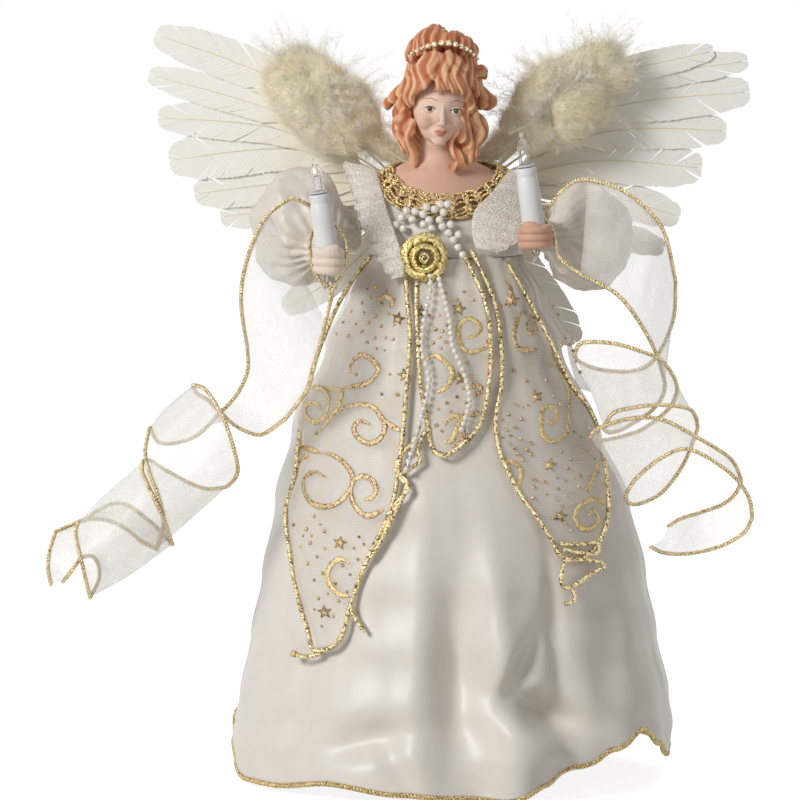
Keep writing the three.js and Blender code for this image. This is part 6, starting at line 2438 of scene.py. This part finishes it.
        def lay(coat: Coat, word: str = "", across: float = 0) -> None:
            """Lays one coat.

            Args:
                coat: what it is.
                word: what its name is filled in with.
                across: how far across the face it lies.
            """
            name, finish, low, high, lift = coat
            lines = [spline([Vector((u + across, v, 0)) for u, v in line], 17) for line in (low, high)]
            rows = []
            for a, b in zip(*lines):
                row = []
                for k in range(9):
                    p = a.lerp(b, k / 8)
                    start = self.face(p.x, p.y, 26)
                    hit = tree.ray_cast(start, -ahead)[0] or self.face(p.x, p.y, 12)
                    row.append(hit + ahead * lift)
                rows.append(row)
            Shape().sheet(rows, 0.12).piece(name.format(word), finish, Body.FIGURE, "bisque")

        for word, side in (("left", -1), ("right", 1)):
            for coat in EYE_COATS:
                lay(coat, word, side * self.eye_off)
        for coat in LIP_COATS:
            lay(coat)

    def build(self) -> None:
        """Makes the casting and paints it."""
        skin = self.skin()
        turn = self.tilt().inverted()
        for i, p in enumerate(skin.points):
            off = turn @ (p - self.face(0, 0, 0))
            cheek = math.exp(-(((abs(off.x) - 8) / 3.6) ** 2) - ((off.z + 5.6) / 3.4) ** 2)
            cheek *= smooth(0, 6, -off.y)
            # cheek is airbrushed blush; bust makes the plate darker and redder towards its lower edge;
            # under is painted shade beneath the chin.
            bust = smooth(334, 322, p.z) * 0.55
            under = 0.3 * smooth(-17, -21, off.z)
            skin.values[i] = 0.55 * cheek + max(bust, under)
        skin.piece("head_bisque", SKIN, Body.FIGURE, "bisque", ("bisque_head",))
        hair = self.hair()
        for i, p in enumerate(hair.points):
            # Painted light and shade: the raised strands are painted lighter, their grooves and the crown
            # darker.
            tone = 0.62 - 0.3 * smooth(372, 396, p.z) + 1.15 * self.strands(p)
            hair.values[i] = tone + 0.3 * noise.noise(p * 0.1)
        hair.piece("hair_bisque", HAIR, Body.FIGURE, "bisque")
        self.paint(skin)


Row = tuple[Pixel, float, Pixel, float]
LEFT_LACE: list[Row] = [
    ((345, 163), 2, (376, 170), 2), ((350, 185), 10, (382, 192), 12), ((358, 212), 21, (388, 215), 24),
    ((368, 238), 29, (396, 238), 33), ((380, 262), 34, (403, 260), 37), ((392, 280), 37, (403, 278), 38),
]
RIGHT_LACE: list[Row] = [
    ((530, 168), 4, (508, 172), 12), ((530, 192), 14, (492, 193), 25), ((527, 216), 24, (474, 212), 31),
    ((516, 240), 32, (471, 232), 34), ((496, 254), 36, (475, 250), 37),
]


@dataclass
class LaceCollar:
    """Gathered lace with a scalloped, corded outer edge."""

    name: str
    rows: list[Row]
    scallop: float = 6.5
    stations: int = 150
    columns: int = 19
    flat: tuple[float, float] = (0.016, 0.075)

    def build(self) -> None:
        """Makes the lace and its picot edge."""
        edges = []
        for k in (0, 2):
            line = [PICTURE.at(*row[k], -row[k + 1]) for row in self.rows]
            edges.append(spline(line, self.stations))
        rows, places, rim = [], [], []
        along = 0.0
        for i, (outer, inner) in enumerate(zip(*edges)):
            along += (outer - edges[0][i - 1]).length if i else 0
            down = edges[0][min(self.stations - 1, i + 1)] - edges[0][max(0, i - 1)]
            across = outer - inner
            facing = across.cross(down).normalized()
            if facing.y > 0:
                facing = -facing
            wave = math.sin(along / 7.5 * math.tau) + 0.5 * math.sin(along / 4.1 * math.tau + 1)
            tooth = abs(math.sin(along / self.scallop * math.pi)) ** 0.7
            row, spots = [], []
            for j in range(self.columns):
                t = j / (self.columns - 1)
                reach = t * (1 + 0.13 * (tooth - 0.5) * smooth(0.6, 1, t))
                rise = 0.5 + 1.35 * wave * t * t + 0.8 * math.sin(t * math.pi)
                row.append(inner + across * reach + facing * rise)
                spots.append((across.length * reach, along * 1.25))
            rows.append(row)
            places.append(spots)
            rim.append(row[-1])
        cloth = Shape().sheet(rows, 0.3, uvs=places).piece(
            f"collar_{self.name}_lace", LACE, Body.FIGURE, "lace", (f"lace_collar_{self.name}",)
        )
        picot = Shape().rope(rim, 0.55, 2.2, sides=5, steps=6).piece(
            f"collar_{self.name}_picot", LACE_THREAD, Body.FIGURE, "lace"
        )


PEARL_ROUTES: list[tuple[int, list[Pixel]]] = [
    (7, [(396, 226), (402, 218), (407, 212), (418, 214), (427, 219), (431, 230)]),
    (8, [(440, 206), (443, 216), (438, 224), (445, 231), (451, 239), (457, 248), (462, 256)]),
]
LOOSE_PEARLS: list[Pixel] = [
    (412, 221), (434, 211), (423, 226), (450, 226), (403, 230), (426, 209), (447, 206), (458, 236),
]
STRINGS: list[tuple[str, list[Pixel]]] = [
    ("left", [(431, 268), (432, 288), (426, 320), (424, 350), (430, 380), (420, 425), (408, 470)]),
    ("right", [(437, 267), (441, 286), (448, 318), (451, 345), (461, 372), (466, 400), (458, 430)]),
]
TIARA: list[Spot] = [
    (407, 61, -3), (412, 56, -14), (425, 50, -20), (443, 46, -22.5), (460, 49, -19), (471, 55, -12),
    (477, 60, -3),
]


@dataclass
class Trims:
    """Braid, pearls, rosette, tiara and the tails of the overlay's cords."""

    neck_half_width: float = 33.28
    neck_half_depth: float = 24.84
    neck_height: float = 319.5
    cluster_half_width: float = 43.1
    cluster_half_depth: float = 32.1
    pearl: float = 2.2
    small_pearl: float = 1.5

    def braid(self) -> None:
        """Makes the gimp braid: bundles of foil thread looped in and out along the neckline."""
        loops, count = 13, 520
        shape = Shape()
        for start in (0.0, 0.5):
            for reach in (1.3, 2.9, 4.5):
                line = []
                for i in range(count):
                    a = i / count * math.tau
                    swing = (i / count * loops + start) * math.tau
                    wide = reach * math.sin(swing) - 1.2
                    a -= 0.02 * reach * math.sin(swing * 2)
                    high = 0.9 * math.cos(swing) * (1 if start else -1) - wide * 0.6 + 0.15 * reach
                    x = (self.neck_half_width + wide) * math.cos(a)
                    y = (self.neck_half_depth + wide) * math.sin(a)
                    tilt = y * (0.72 if y < 0 else 0.12)
                    line.append(Vector((x, y, self.neck_height + tilt + high)))
                shape.rope(line, 1.0, 2.6, closed=True, sides=5, steps=7)
        shape.piece("neck_braid_gimp", GIMP, Body.FIGURE, "gold_cord", ("neck_braid",))

    def cluster(self) -> None:
        """Makes the looped pearl string and loose pearls under the braid."""
        shape = Shape()

        def on_breast(column: float, row: float, out: float) -> Vector:
            """Finds the place on the breast that a picture point shows.

            Args:
                column: its column in the picture.
                row: its row in the picture.
                out: how far it stands off the breast.

            Returns:
                The place.
            """
            share = PICTURE.at(column, row, -30).x / self.cluster_half_width
            depth = -(self.cluster_half_depth + out) * math.sqrt(max(0.1, 1 - share**2))
            return PICTURE.at(column, row, depth)

        for count, route in PEARL_ROUTES:
            line = spline([Vector((*spot, 0)) for spot in route], count)
            thread = [on_breast(p.x, p.y, 0.4) for p in line]
            for place in thread:
                shape.ball(place, Vector((1, 1, 1)) * self.pearl, 18, 12)
            shape.tube(thread, 0.35, 6)
        for i, (column, row) in enumerate(LOOSE_PEARLS):
            place = on_breast(column, row, 0.5 + i % 3 * 0.7)
            shape.ball(place, Vector((1, 1, 1)) * self.pearl, 18, 12)
        shape.piece("pearl_cluster_beads", PEARL, Body.FIGURE, "pearl", ("pearl_cluster",))

    def strings(self) -> None:
        """Makes the two hanging pearl strings."""
        for name, pixels in STRINGS:
            route = spline([FORM.on(*pixel, 8.1) for pixel in pixels], 56)
            shape = Shape()
            for i, place in enumerate(route):
                if i % 2 == 0:
                    shape.ball(place, Vector((1, 1, 1)) * self.small_pearl, 14, 10)
            shape.tube(route, 0.4, 6)
            shape.piece(
                f"pearl_string_{name}_beads", PEARL, Body.FIGURE, "pearl", (f"pearl_string_{name}",)
            )

    def rosette(self) -> None:
        """Makes the rose: a rolled ribbon heart and folded petals overlapping round it."""
        middle = FORM.on(428, 257, 9.6)
        shape = Shape()
        petals = [(90, 560, 0.8, 3.6, -6.4, -5.6)]
        petals += [(20 + k * 118, 190, 3.2, 8.0, -5.2 + k * 0.3, -4.2) for k in range(3)]
        petals += [
            (70 + k * 73, 128, 6.0, 13.2 - k % 2 * 0.8, -3.2 + k % 2 * 0.5, -1.6) for k in range(5)
        ]
        for begin, span, inner, outer, front, rim in petals:
            rows, places = [], []
            steps = span // 6
            rolled = span > 360
            narrow, splay, tip = (0.5, 0, 0) if rolled else (1, 1.8, 3.4)
            for i in range(steps + 1):
                u = i / steps
                a = math.radians(begin + span * u)
                full = 1 - 0.42 * abs(2 * u - 1) ** 3
                base = inner * (mix(0.5, 2.6, u) if rolled else 1)
                row = []
                for j in range(12):
                    t = j / 11
                    curl = smooth(0.62, 1.0, t)
                    r = base + (outer - inner) * full * t ** 1.4 * narrow - 0.3 * curl
                    r += splay * (u - 0.5) * t
                    y = mix(2.6, mix(front, rim, t), smooth(0, 0.7, t)) + 2.0 * curl
                    y -= tip * (u - 0.5)
                    row.append(middle + Vector((r * math.cos(a), y, r * math.sin(a))))
                rows.append(row)
                places.append([(j * 1.2, i * 0.9) for j in range(12)])
            shape.sheet(rows, 0.6, uvs=places)
        shape.piece("rosette_ribbon", GOLD_RIBBON, Body.FIGURE, "gold_ribbon", ("gold_rosette",))

    def tiara(self) -> None:
        """Makes the rhinestone chain across the hair."""
        route = spline([PICTURE.at(*spot) for spot in TIARA], 51)
        stones, cups = Shape(), Shape()
        for i, place in enumerate(route):
            out = (place - Vector((0, 4, place.z))).normalized()
            turn = Vector((0, 0, 1)).rotation_difference(out)
            if i % 3 == 1:
                size = mix(0.95, 1.45, math.sin(i / 50 * math.pi))
                stones.ball(place + out * 0.5, Vector((size, size, size * 0.8)), 8, 6, turn)
                flat = [Vector((math.cos(a) * size, math.sin(a) * size, 0.1)) for a in angles(12)]
                cups.tube([place + turn @ p for p in flat], 0.28, 6, True)
        cups.tube(route, 0.45, 6)
        stones.piece("tiara_stones", STONE, Body.FIGURE, "rhinestone", ("tiara",), False)
        cups.piece("tiara_chain", CHAIN, Body.FIGURE, "rhinestone")

    def tails(self) -> None:
        """Makes the cord tails that run on from the overlay's points, and the bead."""
        shape = Shape()
        for tail in EDGE_TAILS:
            line = [FORM.on(*pixel, 5.2) for pixel in tail]
            shape.rope(line, 1.25, 2.8, strands=3, sides=5, steps=7)
        shape.piece("overlay_cord_tails", EDGE_CORD, Body.FIGURE, "gold_cord")
        bead = FORM.on(300, 650, 5)
        Shape().ball(bead, Vector((2.1, 2.1, 1.9)), 20, 12).piece(
            "overlay_tip_bead", GLITTER, Body.FIGURE, "gold_cord"
        )

    def build(self) -> None:
        """Makes every trim."""
        self.braid()
        self.cluster()
        self.strings()
        self.rosette()
        self.tiara()
        self.tails()


@dataclass
class Studio:
    """Pale floor, white surround, soft lights and the camera at the picture's angle."""

    floor_half: float = 4.0
    distance: float = 3.0
    sensor: float = 36.0
    picture: float = 800
    sky: float = 0.21
    floor_glow: float = 0.86
    floor_drop: float = 0.0003
    aim: Vector = Vector((-0.02386, 0, 0.19957))

    def light(self, name: str, place: Vector, size: float, power: float) -> None:
        """Adds a soft square light that faces the figure.

        Args:
            name: its name.
            place: where it is, in metres.
            size: how wide it is, in metres.
            power: how strong it is, in watts.
        """
        data = bpy.data.lights.new(name, "AREA")
        data.size = size
        data.energy = power
        lamp = bpy.data.objects.new(name, data)
        lamp.location = place
        lamp.rotation_euler = (self.aim - place).to_track_quat("-Z", "Y").to_euler()
        bpy.context.scene.collection.objects.link(lamp)

    @staticmethod
    def seen(tree: Tree) -> Socket:
        """Adds nodes that find rays that look at the surround, straight or by gloss or glass.

        Args:
            tree: the nodes of the surround or the floor.

        Returns:
            A socket that is 1 for those rays and 0 for the rest.
        """
        kinds = ("Camera", "Glossy", "Transmission")
        path = [add(tree, "LightPath", output=f"Is {kind} Ray") for kind in kinds]
        first = add(tree, "Math", {"operation": "MAXIMUM"}, {0: path[0], 1: path[1]})
        return add(tree, "Math", {"operation": "MAXIMUM"}, {0: first, 1: path[2]})

    def world(self) -> None:
        """Makes a dim even sky that looks white."""
        sky = bpy.data.worlds.new("white_surround")
        sky.use_nodes = True
        tree = sky.node_tree
        glow = tree.nodes["Background"]
        glow.inputs["Color"].default_value = (1, 1, 1, 1)
        strength = add(tree, "MapRange", {3: self.sky, 4: 1.0}, {0: self.seen(tree)})
        tree.links.new(strength, glow.inputs["Strength"])
        bpy.context.scene.world = sky

    def floor(self) -> None:
        """Makes the pale floor, which looks white but keeps the shadow."""
        mesh = bpy.data.meshes.new("floor")
        half = self.floor_half
        mesh.from_pydata(
            [(-half, -half, 0), (half, -half, 0), (half, half, 0), (-half, half, 0)], [], [(0, 1, 2, 3)]
        )
        made = bpy.data.materials.new("paper_backdrop_white")
        made.use_nodes = True
        tree = made.node_tree
        paper = Surface(tree, tree.nodes["Principled BSDF"])
        paper.set({"Roughness": 0.9, "Base Color": linear("D9D7D3"), "Specular IOR Level": 0.1})
        paper.set({"Emission Color": (1, 1, 1, 1)})
        lift = add(tree, "MapRange", {3: 0.0, 4: self.floor_glow}, {0: self.seen(tree)})
        paper.feed("Emission Strength", lift)
        mesh.materials.append(made)
        thing = bpy.data.objects.new("floor", mesh)
        thing.location.z = -self.floor_drop
        bpy.context.scene.collection.objects.link(thing)

    def camera(self) -> None:
        """Adds the camera, low in front, as far as the picture's perspective says."""
        data = bpy.data.cameras.new("camera")
        data.sensor_width = self.sensor
        data.lens = self.sensor * self.distance / (self.picture * PICTURE.unit * MM)
        tilt = math.atan(PICTURE.rise)
        away = Vector((0, -math.cos(tilt), math.sin(tilt))) * self.distance
        thing = bpy.data.objects.new("camera", data)
        thing.location = self.aim + away
        thing.rotation_euler = (-away).to_track_quat("-Z", "Y").to_euler()
        bpy.context.scene.collection.objects.link(thing)
        bpy.context.scene.camera = thing

    def build(self) -> None:
        """Sets the scene round the figure."""
        self.floor()
        self.world()
        self.light("key", Vector((-1.9, -1.8, 1.6)), 0.9, 54)
        self.light("fill", Vector((1.9, -1.6, 0.7)), 1.6, 3.0)
        self.light("top", Vector((0.5, 0.9, 2.0)), 1.2, 8)
        self.camera()
        bpy.context.scene.view_settings.view_transform = "Standard"


CARRIED = {
    "base_cone": CONE_BOARD, "torso_core": FOAM, "wing_card": CARD, "arm_wire": WIRE,
    "lamp_glass": GLASS, "lamp_filament": WIRE,
}


def dress_carried() -> None:
    """Gives every frame node that stays its own finish."""
    for name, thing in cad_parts.items():
        finish = next((f for start, f in CARRIED.items() if name.startswith(start)), None)
        if finish:
            for place in thing.material_slots:
                place.material = finish.material()
            LOG.info("%s: dressed in %s", name, finish.name)


def main() -> None:
    """Builds the topper piece by piece, then the studio round it."""
    logging.basicConfig(level=logging.INFO, format="%(name)s: %(message)s")
    Skirt().build()
    Bodice().build()
    for panel in PANELS:
        panel.build()
    Wings().build()
    Head().build()
    LaceCollar("left", LEFT_LACE).build()
    LaceCollar("right", RIGHT_LACE, flat=(0.016, 0.06)).build()
    Trims().build()
    for side in (LEFT, RIGHT):
        PuffSleeve(side).build()
        Hand(side).build()
        CandleLamp(side).build()
    Ribbon(LEFT, 56, LEFT_COIL, LEFT_KNOTS, (0.038, 0.43)).build()
    Ribbon(RIGHT, 54, RIGHT_COIL, RIGHT_KNOTS, (0.036, 0.36)).build()
    dress_carried()
    Studio().build()


if __name__ == "__main__":
    main()
